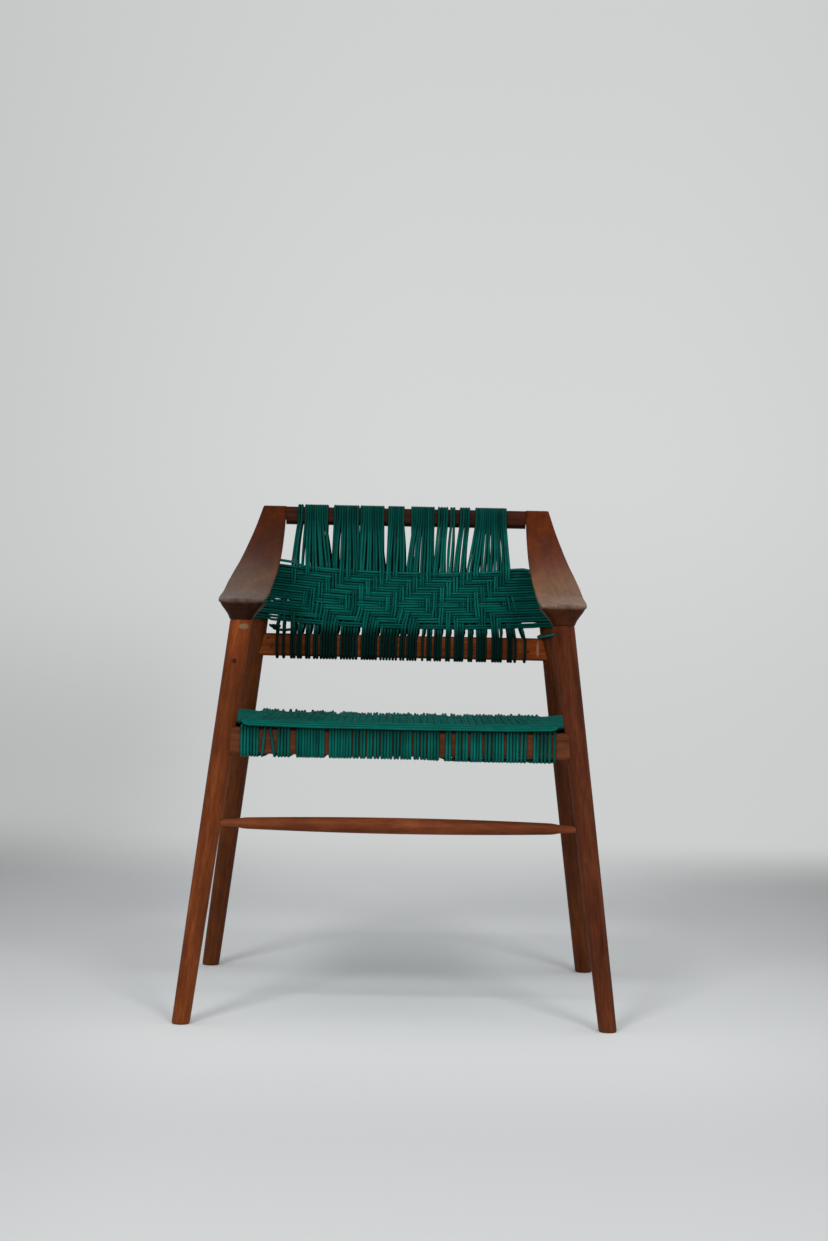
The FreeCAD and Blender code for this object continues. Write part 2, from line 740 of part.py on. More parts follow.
    # Filled hole in the face of the left front leg
    plug_centre = flipped(point_on_line(front_foot, front_top, plug_z))
    plug_face = plug_centre - Vector(0, front_leg_top_diameter / 2, 0)
    plug_bore = Part.makeCylinder(
        plug_diameter / 2, plug_depth + overrun, plug_face - Vector(0, overrun, 0), Vector(0, 1, 0),
    )
    front_left = mirrored(front_leg)
    nodes["leg_plug"] = front_left.common(plug_bore)
    nodes["front_leg_left"] = front_left.cut(plug_bore)

    # Cords
    crest = Vector(0, crest_y, crest_z)
    lower = Vector(0, lower_end.y, lower_rail_z)
    levels = back_levels(rear_foot, rear_top, crest, lower)
    nodes["seat_warp_cords"] = seat_warp_cords(front_rail_end, rear_rail_end)
    nodes["seat_weft_cords"] = seat_weft_cords(side_rail_front, side_rail_rear)
    spread_width = lower_cords_width(lower_end.x)
    nodes["back_warp_cords"] = back_warp_cords(crest, lower, levels, spread_width)
    nodes["back_weft_cords"] = back_weft_cords(levels)
    nodes["cord_knot"] = cord_knot(lower, spread_width)
    nodes["loose_cord_turn"] = loose_turn(rear_foot, rear_top)
    return nodes


def main():
    os.makedirs("parts", exist_ok=True)
    for name, shape in build().items():
        shape.exportStep(os.path.join("parts", name + ".step"))
        box = shape.optimalBoundingBox()
        print(
            name, "solids", len(shape.Solids), "volume", round(shape.Volume), "valid", shape.isValid(),
            "x", round(box.XMin, 1), round(box.XMax, 1), "y", round(box.YMin, 1), round(box.YMax, 1),
            "z", round(box.ZMin, 1), round(box.ZMax, 1),
        )


main()
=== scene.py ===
"""Woven chair: cords, woods, floor, lights and camera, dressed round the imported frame.

Lengths are in millimetres until a mesh is made. Left (sign -1) and right (sign 1) are as
seen by someone who faces the chair; side -1 is the front of a thing and side 1 its rear.
"""

import math
import random

import bpy
import numpy as np
from mathutils import Matrix, Vector


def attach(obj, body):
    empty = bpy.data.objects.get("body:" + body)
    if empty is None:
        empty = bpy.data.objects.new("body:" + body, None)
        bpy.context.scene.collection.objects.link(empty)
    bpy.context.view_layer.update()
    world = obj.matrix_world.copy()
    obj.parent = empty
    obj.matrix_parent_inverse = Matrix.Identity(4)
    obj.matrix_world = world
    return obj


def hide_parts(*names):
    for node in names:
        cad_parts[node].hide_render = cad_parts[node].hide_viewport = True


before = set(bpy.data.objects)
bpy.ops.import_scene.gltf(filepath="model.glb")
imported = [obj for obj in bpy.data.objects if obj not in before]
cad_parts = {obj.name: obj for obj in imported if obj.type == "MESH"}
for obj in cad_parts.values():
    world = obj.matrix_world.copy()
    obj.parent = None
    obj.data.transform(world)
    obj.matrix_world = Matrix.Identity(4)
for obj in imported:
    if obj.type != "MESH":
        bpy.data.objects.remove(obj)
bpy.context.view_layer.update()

bl_info = {
    "name": "Woven chair",
    "version": (1, 0, 0),
    "blender": (4, 5, 0),
    "location": "3D View > Sidebar > Woven chair",
    "description": "A wooden armchair whose seat and back are woven from green cord",
    "category": "Add Mesh",
}

ROOT = "root"
MM = 0.001
FULL_TURN = 2 * math.pi
X_AXIS = (1.0, 0.0, 0.0)
Y_AXIS = (0.0, 1.0, 0.0)
Z_AXIS = (0.0, 0.0, 1.0)
DOWN = (0.0, 0.0, -1.0)


# ---------------- plain maths

def lerp(first, last, share):
    """A value part of the way from the first to the last."""
    return first + (last - first) * share


def ease(values, low=0.0, high=1.0):
    """0 below low, 1 above high and smooth in between, for a number or an array."""
    share = np.minimum(1.0, np.maximum(0.0, (values - low) / (high - low)))
    return share * share * (3 - 2 * share)


def arc(centre, radius, start, end, steps):
    """Points of an arc in a plane, from one angle in degrees to another."""
    angles = np.radians(np.linspace(start, end, steps))
    return [(centre[0] + radius * math.cos(a), centre[1] + radius * math.sin(a)) for a in angles]


def circle(count):
    """Directions all round, each as its cosine and sine."""
    angles = np.linspace(0, FULL_TURN, count, endpoint=False)
    return [(math.cos(a), math.sin(a)) for a in angles]


def bridge(first, last, count, rise):
    """Points between two points, bowed upwards by a rise."""
    first, last = np.array(first), np.array(last)
    shares = [step / (count + 1) for step in range(1, count + 1)]
    return [lerp(first, last, s) + (0.0, 0.0, rise * math.sin(math.pi * s)) for s in shares]


def curve_through(stations, values, at):
    """A smooth curve through the values at the stations."""
    stations = np.asarray(stations, dtype=float)
    values = np.asarray(values, dtype=float)
    slopes = np.gradient(values, stations)
    at = np.clip(np.asarray(at, dtype=float), stations[0], stations[-1])
    low = np.clip(np.searchsorted(stations, at, side="right") - 1, 0, len(stations) - 2)
    span = stations[low + 1] - stations[low]
    share = (at - stations[low]) / span
    back = 1 - share
    return (
        values[low] * (1 + 2 * share) * back ** 2 + slopes[low] * span * share * back ** 2
        + values[low + 1] * share ** 2 * (3 - 2 * share)
        - slopes[low + 1] * span * share ** 2 * back
    )


# ---------------- the chair's frame

class Rail:
    """A level rail with rounded edges, seen from one end.

    Across is the depth of its middle. A side rail is given on its own slanting line, so
    its place across is 0.
    """

    def __init__(self, across, z, half_width, half_height, rounding):
        self.across = across
        self.z = z
        self.half_width = half_width
        self.half_height = half_height
        self.round = rounding

    def face(self, side, gap=0.0):
        """Place across of its front or rear face, or of what lies a gap outside it."""
        return self.across + side * (self.half_width + gap)

    def level(self, up, gap=0.0):
        """Height of its top (up 1) or underside (up -1), or of what lies a gap outside it."""
        return self.z + up * (self.half_height + gap)

    def edge(self, side, up):
        """Middle of the rounding of one of its edges, as place across and height."""
        return self.face(side, -self.round), self.level(up, -self.round)


class Leg:
    """A splayed round leg as it stands on the right, with its radii at foot, waist and top."""

    def __init__(self, foot, top, radii):
        self.foot = np.array(foot)
        self.top = np.array(top)
        self.radii = radii

    def point(self, z):
        """Its middle at a height."""
        return lerp(self.foot, self.top, z / self.top[2])


FRONT_LEG = Leg((281.0, -251.0, 0.0), (215.5, -204.0, 533.0), (12.0, 14.0, 14.75))
REAR_LEG = Leg((288.5, 250.0, 0.0), (206.5, 157.01, 634.0), (13.0, 14.5, 14.0))
LEG_WAIST_Z = 300.0
CREST = Rail(238.0, 696.3, 12.0, 13.5, 7.0)
LOWER_RAIL = Rail(177.0, 497.5, 10.0, 17.0, 5.0)
FRONT_RAIL = Rail(-218.2, 372.5, 10.0, 17.5, 5.0)
REAR_RAIL = Rail(195.4, 372.5, 10.0, 17.5, 5.0)
SIDE_RAIL = Rail(0.0, 383.0, 9.0, 12.0, 6.0)
SIDE_RAIL_FRONT = np.array((234.3, -217.2))
SIDE_RAIL_REAR = np.array((239.0, 193.8))

ARM_FRONT_Y = -231.0
ARM_LENGTH = 482.0
ARM_FRONT_TOP_Z = 559.5
ARM_RISE = 166.0
ARM_INNER_X = 184.0
ARM_WIDTH = 65.0
ARM_THICKNESS = 20.0
ARM_EDGE = 4.0
ARM_CORNER = 1.6
ARM_CROWN = 1.2
ARM_STATIONS = (0.0, 0.033, 0.116, 0.251, 0.417, 0.573, 0.697, 0.811, 0.905, 1.0)
ARM_RISES = (0.0, 0.007, 0.03, 0.08, 0.178, 0.286, 0.392, 0.539, 0.722, 1.0)
ARM_WIDTHS = (0.915, 0.946, 0.989, 1.0, 1.0, 0.966, 0.908, 0.815, 0.685, 0.5)
ARM_THICKNESSES = (0.26, 0.55, 0.8, 0.95, 1.0, 1.07, 1.2, 1.4, 1.65, 2.0)
ARM_BEVEL = 0.19
ARM_BEVEL_HOLLOW = 0.12
ARM_VOXEL = 0.00112
CHAIR_HEIGHT = 711.0
NECK_HEIGHT = 22.0
NECK_OVERLAP = 1.12
NECK_LEVELS = (0.0, 0.28, 0.55, 0.82, 1.0)
NECK_SPREADS = (0.0, 0.2, 0.5, 0.83, 1.0)
NECK_TOP_WIDTH = 59.0
NECK_FRONT_REACH = 26.6
NECK_REAR_REACH = 52.0
NECK_LIP = 0.6
NECK_ROUND_POWER = 2.0
NECK_SQUARE_POWER = 7.0
ROUND_SIDES = 48

STRETCHER_Y = -227.8
STRETCHER_Z = 263.0
STRETCHER_PROFILE = (
    (0.0, 10.8), (61.5, 10.5), (112.8, 9.8), (153.8, 8.94), (184.5, 8.13),
    (197.0, 7.75), (205.0, 7.3), (212.0, 6.0), (219.0, 5.0), (252.0, 5.0),
)
STRETCHER_END_PLACES = (201, 205, 208, 211, 213.5, 216, 219, 232, 244, 246)

# ---------------- how the cords lie

CLEARANCE = 0.4
PAIR_GAP = 0.03
CORD_SIDES = 8
CUT_END_SHARE = 0.55
BACK_PITCH = 10.17
BACK_COLUMNS = (-14,) + tuple(range(-12, 19))
BACK_COLUMN_SHIFTS = {17: -1.2, 18: -3.2}
BACK_MIDDLE_COLUMN_X = -24.5
BACK_EDGE_X = 214.0
BACK_ROW_PITCH = 7.73
BACK_ROW_COUNT = 11
BACK_TOP_ROW_Z = 607.2
BACK_APEX_ROW = 6
BACK_HOLLOW = 12.0
# How much the rows rise and spread at the left and the right leg.
BACK_LEFT_RISE = (11.5, 0.04)
BACK_RIGHT_RISE = (6.5, 0.02)
BACK_LAST_ROW_DROP = 1.6
# How far the rear layer lies off the front one: uprights to the side, cross cords up.
REAR_SHIFT = 2.54
REAR_SHIFT_BARE = 0.4
REAR_RISE = 3.8
REAR_RISE_TOP_ROW = 0.6
# How close the two cords of a row lie, and how much less the rear ones lift on the right.
PAIR_SQUEEZE = 0.97
REAR_LIFT_LOSS = 0.6
# Uprights fan out to their places on the lower rail from a row on, those outside sooner.
OUTER_LEFT_X = -125
OUTER_RIGHT_X = 90
OUTER_FAN_ROW = 3.0
INNER_FAN_ROW = 6.5
FAN_SHARE = 0.85
UPRIGHT_WAVER = 0.35
# A group of cords is its left edge, its right edge and its count.
CREST_GROUPS = (
    (-166.1, -158.0, 2), (-155.5, -119.3, 10), (-111.0, -71.9, 10), (-70.2, -33.4, 10),
    (-27.4, -2.4, 7), (7.9, 44.0, 10), (48.8, 65.2, 4), (67.9, 76.1, 2), (82.8, 98.7, 4),
    (106.8, 154.6, 14),
)
# Which of the crest's cords hang between the layers, the way each leans, and how deep.
INNER_CORDS = (2, 11, 12, 21, 22, 31, 32, 39, 48)
INNER_LEANS = (-1, 1, -1, 1, -1, 1, -1, 1, 1)
INNER_DEPTH = 3.6
LOWER_GROUPS = (
    (-170.9, -162.9, 2), (-160.8, -153.0, 2), (-148.2, -140.2, 2), (-136.5, -128.0, 2),
    (-126.4, -99.8, 6), (-96.0, -68.8, 6), (-64.4, -39.2, 6), (-36.4, -8.6, 6),
    (-6.0, 2.4, 2), (4.6, 20.6, 4), (26.7, 31.2, 1), (35.2, 42.9, 2), (45.9, 57.9, 3),
    (63.5, 71.0, 2), (76.5, 91.0, 4), (97.6, 104.8, 2), (110.0, 125.8, 4), (133.3, 149.6, 4),
    (157.0, 164.8, 2), (166.9, 171.3, 1), (181.3, 185.8, 1),
)
# Short loops on the lower rail: place on the rail, place in the band, and first row.
SHORT_LOOPS = ((-190.5, -184.0, 8), (-180.7, -178.5, 5))
SHORT_LOOP_COLUMN = -13
# Where cross cords part beside the legs: start, end and height of each opening.
BACK_SLITS = (
    (-198.5, -189.0, 565.3), (-183.5, -175.5, 563.9), (-201.0, -192.0, 542.8),
    (-201.5, -192.0, 536.9), (176.0, 197.5, 538.6),
)
SLIT_SHIFT = 0.8
SLIT_MARGIN = 4.0
SLIT_FADE = 7.0
# How far loose upper cross cords stand up at the left and the right, by row and pair side.
TOP_ROW_LIFTS = {(0, -1): (4.6, 2.6), (0, 1): (0.8, 1.7), (1, -1): (0.6, 0.9), (1, 1): (-0.6, 0.4)}

SEAT_GROUPS = (
    (-211.8, -186.8, 6), (-182.7, -178.7, 1), (-171.3, -167.3, 1), (-162.9, -145.7, 4),
    (-137.8, -99.5, 10), (-94.2, -63.8, 8), (-62.5, -54.6, 2), (-53.3, -45.3, 2),
    (-44.0, -36.1, 2), (-34.8, -26.8, 2), (-25.5, -9.6, 4), (-8.4, -0.4, 2), (0.9, 15.4, 4),
    (18.1, 26.0, 2), (27.3, 35.3, 2), (36.5, 52.4, 4), (60.3, 68.3, 2), (73.5, 81.5, 2),
    (82.8, 90.7, 2), (93.3, 109.2, 4), (111.8, 121.1, 2), (122.4, 138.3, 4),
    (140.9, 158.1, 4), (159.4, 168.7, 2), (176.6, 184.5, 2), (185.8, 195.1, 2),
    (196.4, 200.4, 1), (203.0, 207.0, 1),
)
# How far a long cord leans at the top and the foot of the front rail: two lean a lot.
SEAT_SLANTS = {6: (1.3, -1.3), 7: (-2.0, 2.0)}
SEAT_MOST_SLANT = 0.18
SEAT_EDGE_X = 236.0
SEAT_MIDDLE_Y = -12.0
SEAT_HALF_DEPTH = 204.0
SEAT_SAG = 6.5
SEAT_EDGE_RISE = 3.2
SEAT_CROSS_COUNT = 104
SEAT_FREE_COUNT = 10
SEAT_BENT_COUNT = 4
SEAT_BENT_ANGLE = 143.0
SEAT_BENT_STEP = 17.5
SEAT_BENT_HANG = 17.4
# Where the first cross cords and the level ones turn to the side rails, and over how far.
SEAT_TURN_START = (204.0, 150.0)
SEAT_TURN_RUN = (18.0, 70.0)
SEAT_LEVEL_START = 3.2
SEAT_LEVEL_END = 6.0
SEAT_WOUND_Y = -196.0
SEAT_WOUND_DEPTH = 368.0

# The surface between the back's layers at the top of the woven band, used for painted shade.
BAND_TOP_Z = 612.0
BAND_TOP_LEG_X = 209.3
BAND_TOP_MIDDLE_Y = 200.3
BAND_TOP_LEG_Y = 160.2
BAND_TOP_LAYER = 13.1
BAND_TOP_LAYER_SPREAD = 3.75
CREST_LAYER = 13.95

KNOT_MIDDLE = np.array((-192.6, 157.6, 524.4))
KNOT_SIZE = (2.1, 1.9, 1.2)
KNOT_SWELL = 1.05
# How dark the knot is painted all over, as shade.
KNOT_PAINTED_SHADE = 0.7
LOOSE_TURN_Z = 521.3

# ---------------- colours

# Wood is given as the screen colours of its dark, middle and light grain. A tone is a
# direction, two places along it and the factor that sets in between them. A mark is its
# middle, its reach, its screen colour and its strength.
PLAIN_WOOD = ((48, 22, 12), (92, 46, 26), (128, 68, 38))
RAIL_WOODS = (
    # The crest rail's underside is painted darker, as shade.
    ("crest_rail", "crest_rail_wood", X_AXIS, ((32, 14, 7), (55, 25, 13), (84, 40, 22)),
     ((DOWN, -689.0, -685.0, (0.42, 0.38, 0.4)),)),
    ("lower_back_rail", "lower_rail_wood", X_AXIS, ((58, 26, 7), (112, 53, 17), (156, 84, 30)),
     ((X_AXIS, 150.0, 200.0, (1.6, 1.45, 1.15)),),
     (((203.0, 167.0, 498.0), (2.2, 9.0, 13.0), (150, 120, 96), 0.75),
      ((188.5, 167.0, 494.0), (2.6, 9.0, 2.2), (46, 20, 8), 0.8),
      ((-204.0, 167.0, 507.0), (3.2, 9.0, 2.0), (52, 22, 9), 0.7),
      ((-199.0, 167.0, 494.0), (2.5, 9.0, 2.5), (58, 26, 10), 0.7))),
    ("seat_front_rail", "front_rail_wood", X_AXIS, ((52, 24, 12), (94, 50, 28), (126, 72, 42))),
    ("seat_rear_rail", "rear_rail_wood", X_AXIS, PLAIN_WOOD),
    ("seat_side_rail_left", "side_rail_left_wood", Y_AXIS, PLAIN_WOOD),
    ("seat_side_rail_right", "side_rail_right_wood", Y_AXIS, PLAIN_WOOD),
    ("leg_plug", "plug_end_grain", Y_AXIS, ((74, 52, 38), (112, 84, 64), (140, 112, 90))),
)
PLUG_RING = ((-222.3, -222.0, 477.5), (3.6, 6.0, 3.6), (34, 16, 9), 0.85)
LEG_CHIP = ((-210.0, -219.0, 523.8), (8.5, 8.0, 4.0), (132, 112, 82), 0.78)
# Painted light: the legs are painted lighter towards their feet, and the front legs also towards
# their tops, under the arms.
LEG_FOOT_PAINTED_LIGHT = ((DOWN, -330.0, 0.0, (1.14, 1.14, 1.1)),)
FRONT_LEG_PAINTED_LIGHT = LEG_FOOT_PAINTED_LIGHT + ((Z_AXIS, 430.0, 525.0, (1.38, 1.26, 1.0)),)
LEG_FINISHES = (
    ("front_leg_left", FRONT_LEG, -1, ((62, 26, 9), (109, 53, 23), (150, 80, 38)),
     FRONT_LEG_PAINTED_LIGHT, (PLUG_RING, LEG_CHIP)),
    ("front_leg_right", FRONT_LEG, 1, ((46, 19, 9), (84, 40, 21), (116, 60, 33)), FRONT_LEG_PAINTED_LIGHT),
    ("rear_leg_left", REAR_LEG, -1, ((50, 22, 9), (90, 45, 21), (120, 64, 31)), LEG_FOOT_PAINTED_LIGHT),
    ("rear_leg_right", REAR_LEG, 1, ((48, 22, 9), (86, 43, 20), (116, 62, 30)), LEG_FOOT_PAINTED_LIGHT),
)
ARM_GRAIN = (0.0, 1.0, 0.3)
ARM_UPWARD = (0.0, 0.35, 1.0)
# The arms' shades are greyed by a painted reflection of the pale backdrop on their flat fronts.
ARM_FINISHES = (
    ("arm_left", -1, ((60, 47, 41), (99, 81, 73), (127, 106, 96))),
    ("arm_right", 1, ((84, 64, 54), (130, 104, 89), (158, 129, 112))),
)
# The first two tones fade that painted reflection out and make each arm darker and more orange
# towards its top; the last is painted shade under its front and on its neck.
ARM_TONES = (
    (ARM_UPWARD, 456.0, 580.0, (0.84, 0.53, 0.26)),
    (ARM_UPWARD, 570.0, 690.0, (0.6, 0.26, 0.03)),
    (DOWN, -559.2, -553.0, (0.28, 0.11, 0.045)),
)
WOOD_GLOSS = 0.52
ARM_GLOSS = 0.46
STRETCHER_SHADES = ((70, 32, 15), (114, 57, 29), (146, 80, 44))
STRANDS = 3.0
STRAND_TURNS_PER_METRE = 385.0

# ---------------- the stage

LAMP_SIZE = 0.7
LAMP_TARGET = (0.0, 0.0, 0.3)
LAMPS = (
    ("left_softbox", 31.0, (-1.05, -2.75, 2.7)),
    ("right_softbox", 23.5, (1.05, -2.75, 2.7)),
)
WORLD_COLOUR = (0.97, 0.985, 1.0, 1.0)
WORLD_STRENGTH = 0.57
PAPER_WIDTH = 14.0
PAPER_FRONT_Y = -9.0
PAPER_BEND_Y = 2.6
PAPER_BEND = 1.4
PAPER_HEIGHT = 9.0
LENS = 62.69
CAMERA_X = 0.0155
CAMERA_PITCH = 90.25
CAMERA_ROLL = 1.142


# ---------------- shader recipes

class Sum:
    """One output of a shader node, so that maths on it reads as an ordinary sum."""

    def __init__(self, recipe, link):
        self.recipe = recipe
        self.link = link

    def _math(self, operation, first, second=None, clamp=False):
        settings = {"operation": operation, "use_clamp": clamp}
        return self.recipe.maths("ShaderNodeMath", settings, first, second)

    def __add__(self, other):
        return self._math("ADD", self, other)

    def __sub__(self, other):
        return self._math("SUBTRACT", self, other)

    def __rsub__(self, other):
        return self._math("SUBTRACT", other, self)

    def __mul__(self, other):
        return self._math("MULTIPLY", self, other)

    def sine(self):
        return self._math("SINE", self)

    def absolute(self):
        return self._math("ABSOLUTE", self)

    def clamped(self):
        return self._math("ADD", self, 0.0, clamp=True)


class Recipe:
    """A material under construction: a shader tree and the ways to add to it."""

    def __init__(self, name):
        self.material = bpy.data.materials.new(name)
        self.material.use_nodes = True
        self.tree = self.material.node_tree
        self.tree.nodes.clear()

    def node(self, kind, settings=None, inputs=None, output=0):
        """Add a node: its settings first, then the values or links of its sockets."""
        made = self.tree.nodes.new(kind)
        for key, value in (settings or {}).items():
            setattr(made, key, value)
        for key, value in (inputs or {}).items():
            if isinstance(value, Sum):
                self.tree.links.new(value.link, made.inputs[key])
            else:
                made.inputs[key].default_value = value
        if isinstance(output, tuple):
            return [Sum(self, made.outputs[key]) for key in output]
        return Sum(self, made.outputs[output]) if made.outputs else None

    def maths(self, kind, settings, first, second=None, output=0):
        """Add a maths node with one or two inputs."""
        inputs = {0: first} if second is None else {0: first, 1: second}
        return self.node(kind, settings, inputs, output)

    def vector_maths(self, operation, first, second=None, output="Vector"):
        settings = {"operation": operation}
        return self.maths("ShaderNodeVectorMath", settings, first, second, output)

    def place(self):
        """Where a point lies on the object, in metres."""
        return self.node("ShaderNodeTexCoord", output="Object")

    def split(self, vector, count):
        """The first parts of a vector."""
        return self.node("ShaderNodeSeparateXYZ", None, {0: vector}, tuple(range(count)))

    def vector(self, x, y, z):
        return self.node("ShaderNodeCombineXYZ", None, {0: x, 1: y, 2: z})

    def along(self, vector, direction):
        """How far a point lies along a direction."""
        return self.vector_maths("DOT_PRODUCT", vector, direction, "Value")

    def attribute(self, name):
        return self.node("ShaderNodeAttribute", {"attribute_name": name}, None, "Fac")

    def noise(self, vector, scale, detail=3.0, roughness=0.5, distortion=0.0):
        inputs = {
            "Vector": vector, "Scale": scale, "Detail": detail,
            "Roughness": roughness, "Distortion": distortion,
        }
        return self.node("ShaderNodeTexNoise", None, inputs, "Fac")

    def between(self, value, low, high):
        """0 below low, 1 above high, and smooth in between."""
        settings = {"interpolation_type": "SMOOTHSTEP"}
        inputs = {"Value": value, "From Min": low, "From Max": high}
        return self.node("ShaderNodeMapRange", settings, inputs)

    def mix(self, share, first, second, blend="MIX"):
        """Mix two colours."""
        settings = {"data_type": "RGBA", "blend_type": blend}
        inputs = {0: share, 6: colour4(first), 7: colour4(second)}
        return self.node("ShaderNodeMix", settings, inputs, 2)

    def ramp(self, value, *stops):
        """A colour picked by a value from three stops, each a place and a colour."""
        picked = self.node("ShaderNodeValToRGB", None, {"Fac": value})
        elements = picked.link.node.color_ramp.elements
        elements.new(0.5)
        for element, (place, colour) in zip(elements, stops):
            element.position = place
            element.color = colour4(colour)
        return picked

    def bump(self, height, strength, distance):
        inputs = {"Strength": strength, "Distance": distance, "Height": height}
        return self.node("ShaderNodeBump", None, inputs)

    def finish(self, **sockets):
        """Close the material with a Principled shader whose sockets are given by name."""
        inputs = {key.replace("_", " "): value for key, value in sockets.items()}
        shader = self.node("ShaderNodeBsdfPrincipled", None, inputs)
        self.node("ShaderNodeOutputMaterial", None, {"Surface": shader})
        return self.material


def colour4(colour):
    """A colour with its alpha, or a link as it is."""
    return colour if isinstance(colour, Sum) else (*colour, 1.0)


def times(colour, share):
    """A colour made lighter or darker."""
    return tuple(share * value for value in colour)


def linear(red, green, blue):
    """A colour as the screen shows it (0 to 255), as light."""
    shares = (red / 255, green / 255, blue / 255)
    return tuple(s / 12.92 if s <= 0.04045 else ((s + 0.055) / 1.055) ** 2.4 for s in shares)


def cord_material(name, dark, light):
    """Twisted cord: fine strands that wind round it, worn and dyed a little unevenly, with painted
    shade.
    """
    recipe = Recipe(name)
    length, around = recipe.split(recipe.node("ShaderNodeUVMap", {"uv_map": "lay"}), 2)
    # The strands are painted between the lit and the shaded colour of the cord.
    strand = ((around * STRANDS + length * STRAND_TURNS_PER_METRE) * FULL_TURN).sine() * 0.5 + 0.5
    # Painted shade on the sides of each cord, where it touches its neighbours.
    contact_shade = recipe.between((around * FULL_TURN).sine().absolute(), 0.6, 1.0)
    place = recipe.place()
    patches = recipe.noise(place, 55.0, 2.0)
    fibre = recipe.noise(place, 1100.0, 3.0, 0.7)
    share = strand * 0.62 + fibre * 0.45 + patches * 0.5 + recipe.attribute("tint") * 0.4 - 0.46
    colour = recipe.mix(share.clamped(), dark, light)
    colour = recipe.mix(contact_shade * 0.82, colour, times(dark, 0.2))
    # Painted shade, as much as the depth attribute says.
    colour = recipe.mix(recipe.attribute("depth"), colour, times(dark, 0.22))
    normal = recipe.bump(strand * 0.8 + fibre * 0.35, 0.7, 0.0007)
    rough = 0.72 - strand * 0.1
    return recipe.finish(
        Base_Color=colour, Roughness=rough, Normal=normal, Specular_IOR_Level=0.06,
    )


def wood_material(name, axis, shades, tones=(), marks=(), gloss=WOOD_GLOSS):
    """Oiled reddish wood whose grain runs along an axis of the piece."""
    recipe = Recipe(name)
    dark, middle, light = (linear(*shade) for shade in shades)
    axis = Vector(axis).normalized()
    side = axis.orthogonal().normalized()
    place = recipe.place()
    run, across, deep = (recipe.along(place, way) for way in (axis, side, axis.cross(side)))

    def grain(stretch, *settings):
        """Noise that is drawn out along the grain."""
        return recipe.noise(recipe.vector(run * stretch, across, deep), *settings)

    bands = grain(0.07, 120.0, 4.0, 0.6, 0.8)
    pores = grain(0.035, 1000.0, 3.0, 0.7)
    clouds = grain(0.35, 26.0, 4.0, 0.6)
    flecks = grain(0.18, 260.0, 3.0, 0.6)
    share = (bands * 0.75 + clouds * 0.9 + flecks * 0.45 + pores * 0.2 - 0.65).clamped()
    colour = recipe.ramp(share, (0.12, dark), (0.5, middle), (0.88, light))
    colour = recipe.mix(recipe.between(pores, 0.6, 0.74) * 0.45, colour, dark)
    for direction, start, end, tone in tones:
        mask = recipe.between(recipe.along(place, direction), start * MM, end * MM)
        colour = recipe.mix(mask, colour, tone, "MULTIPLY")
    for spot, reach, tone, strength in marks:
        shift = recipe.vector_maths("SUBTRACT", place, times(spot, MM))
        scaled = recipe.vector_maths("DIVIDE", shift, times(reach, MM))
        far = recipe.vector_maths("LENGTH", scaled, output="Value")
        mask = (1 - recipe.between(far + flecks * 0.35, 0.85, 1.3)) * strength
        colour = recipe.mix(mask, colour, linear(*tone))
    normal = recipe.bump(bands * 0.3 + flecks * 0.3 + pores * 0.6, 0.2, 0.0005)
    rough = clouds * 0.16 + gloss + pores * 0.1 - 0.13
    return recipe.finish(
        Base_Color=colour, Roughness=rough, Normal=normal, Specular_IOR_Level=0.08,
    )


def paper_material(tone):
    """Pale studio paper: matt on the floor, and a glow where it stands up behind.

    Only the camera and clear or glossy surfaces see the glow, so it lights nothing. The floor's
    colour holds painted light and shade, and the glow painted shade.
    """
    recipe = Recipe("pale_paper")
    between = recipe.between
    x, y, z = recipe.split(recipe.place(), 3)
    leftward = 0.0 - x

    def shaded(colour, *layers):
        """The colour under layers, each a mask and the share of the tone that it leads to."""
        for mask, share in layers:
            colour = recipe.mix(mask, colour, times(tone, share))
        return colour

    # Painted light and shade on the floor: darker behind the chair and at the sides, lighter in the
    # middle under and behind it, against its shadow.
    far = between(y, 0.3, 1.1) * (1 - between(y, 1.3, 2.2))
    near = between(y, -0.95, -0.15) * (1 - far * 0.12)
    middle = 1 - between(x.absolute(), 0.15, 1.3)
    sides = between(leftward, 0.2, 0.55) * 0.1 + between(x, 0.3, 0.7) * 0.06
    colour = shaded(
        tone,
        (between(y, -0.05, 0.6), 0.68),
        (middle * near * 0.95, 1.33),
        (sides, 0.0),
    )
    floor = recipe.node("ShaderNodeBsdfPrincipled", None, {
        "Base Color": colour, "Roughness": 0.9, "Specular IOR Level": 0.05,
    })

    # Painted shade on the glow: lighter up to about a metre, darker towards its sides, more so low
    # down, darker high up and at its lower left.
    edge = between((x - 0.35).absolute(), 0.3, 3.2)
    low_edge = edge * (1 - between(y, 2.1, 3.0))
    low_left = between(leftward, 0.35, 0.9) * (1 - between(z, 0.1, 0.7))
    colour = shaded(
        times(tone, 0.85),
        (between(z, 0.0, 1.1), 0.925),
        (edge * 0.85, 0.642),
        (low_edge * 0.9, 0.45),
        (between(z, 1.0, 3.0) * 0.35, 0.755),
        (low_left * 0.15, 0.0),
    )
    wall = recipe.node("ShaderNodeEmission", None, {"Color": colour, "Strength": 1.0})

    rays = ("Is Camera Ray", "Is Glossy Ray", "Is Transmission Ray")
    camera, glossy, clear = recipe.node("ShaderNodeLightPath", output=rays)
    factor = between(y, 1.3, 2.4) * (camera + glossy + clear).clamped()
    shader = recipe.node("ShaderNodeMixShader", None, {0: factor, 1: floor, 2: wall})
    recipe.node("ShaderNodeOutputMaterial", None, {"Surface": shader})
    return recipe.material


# ---------------- wood geometry

def add_object(name, data):
    """Add an object with its data to the scene."""
    item = bpy.data.objects.new(name, data)
    bpy.context.scene.collection.objects.link(item)
    return item


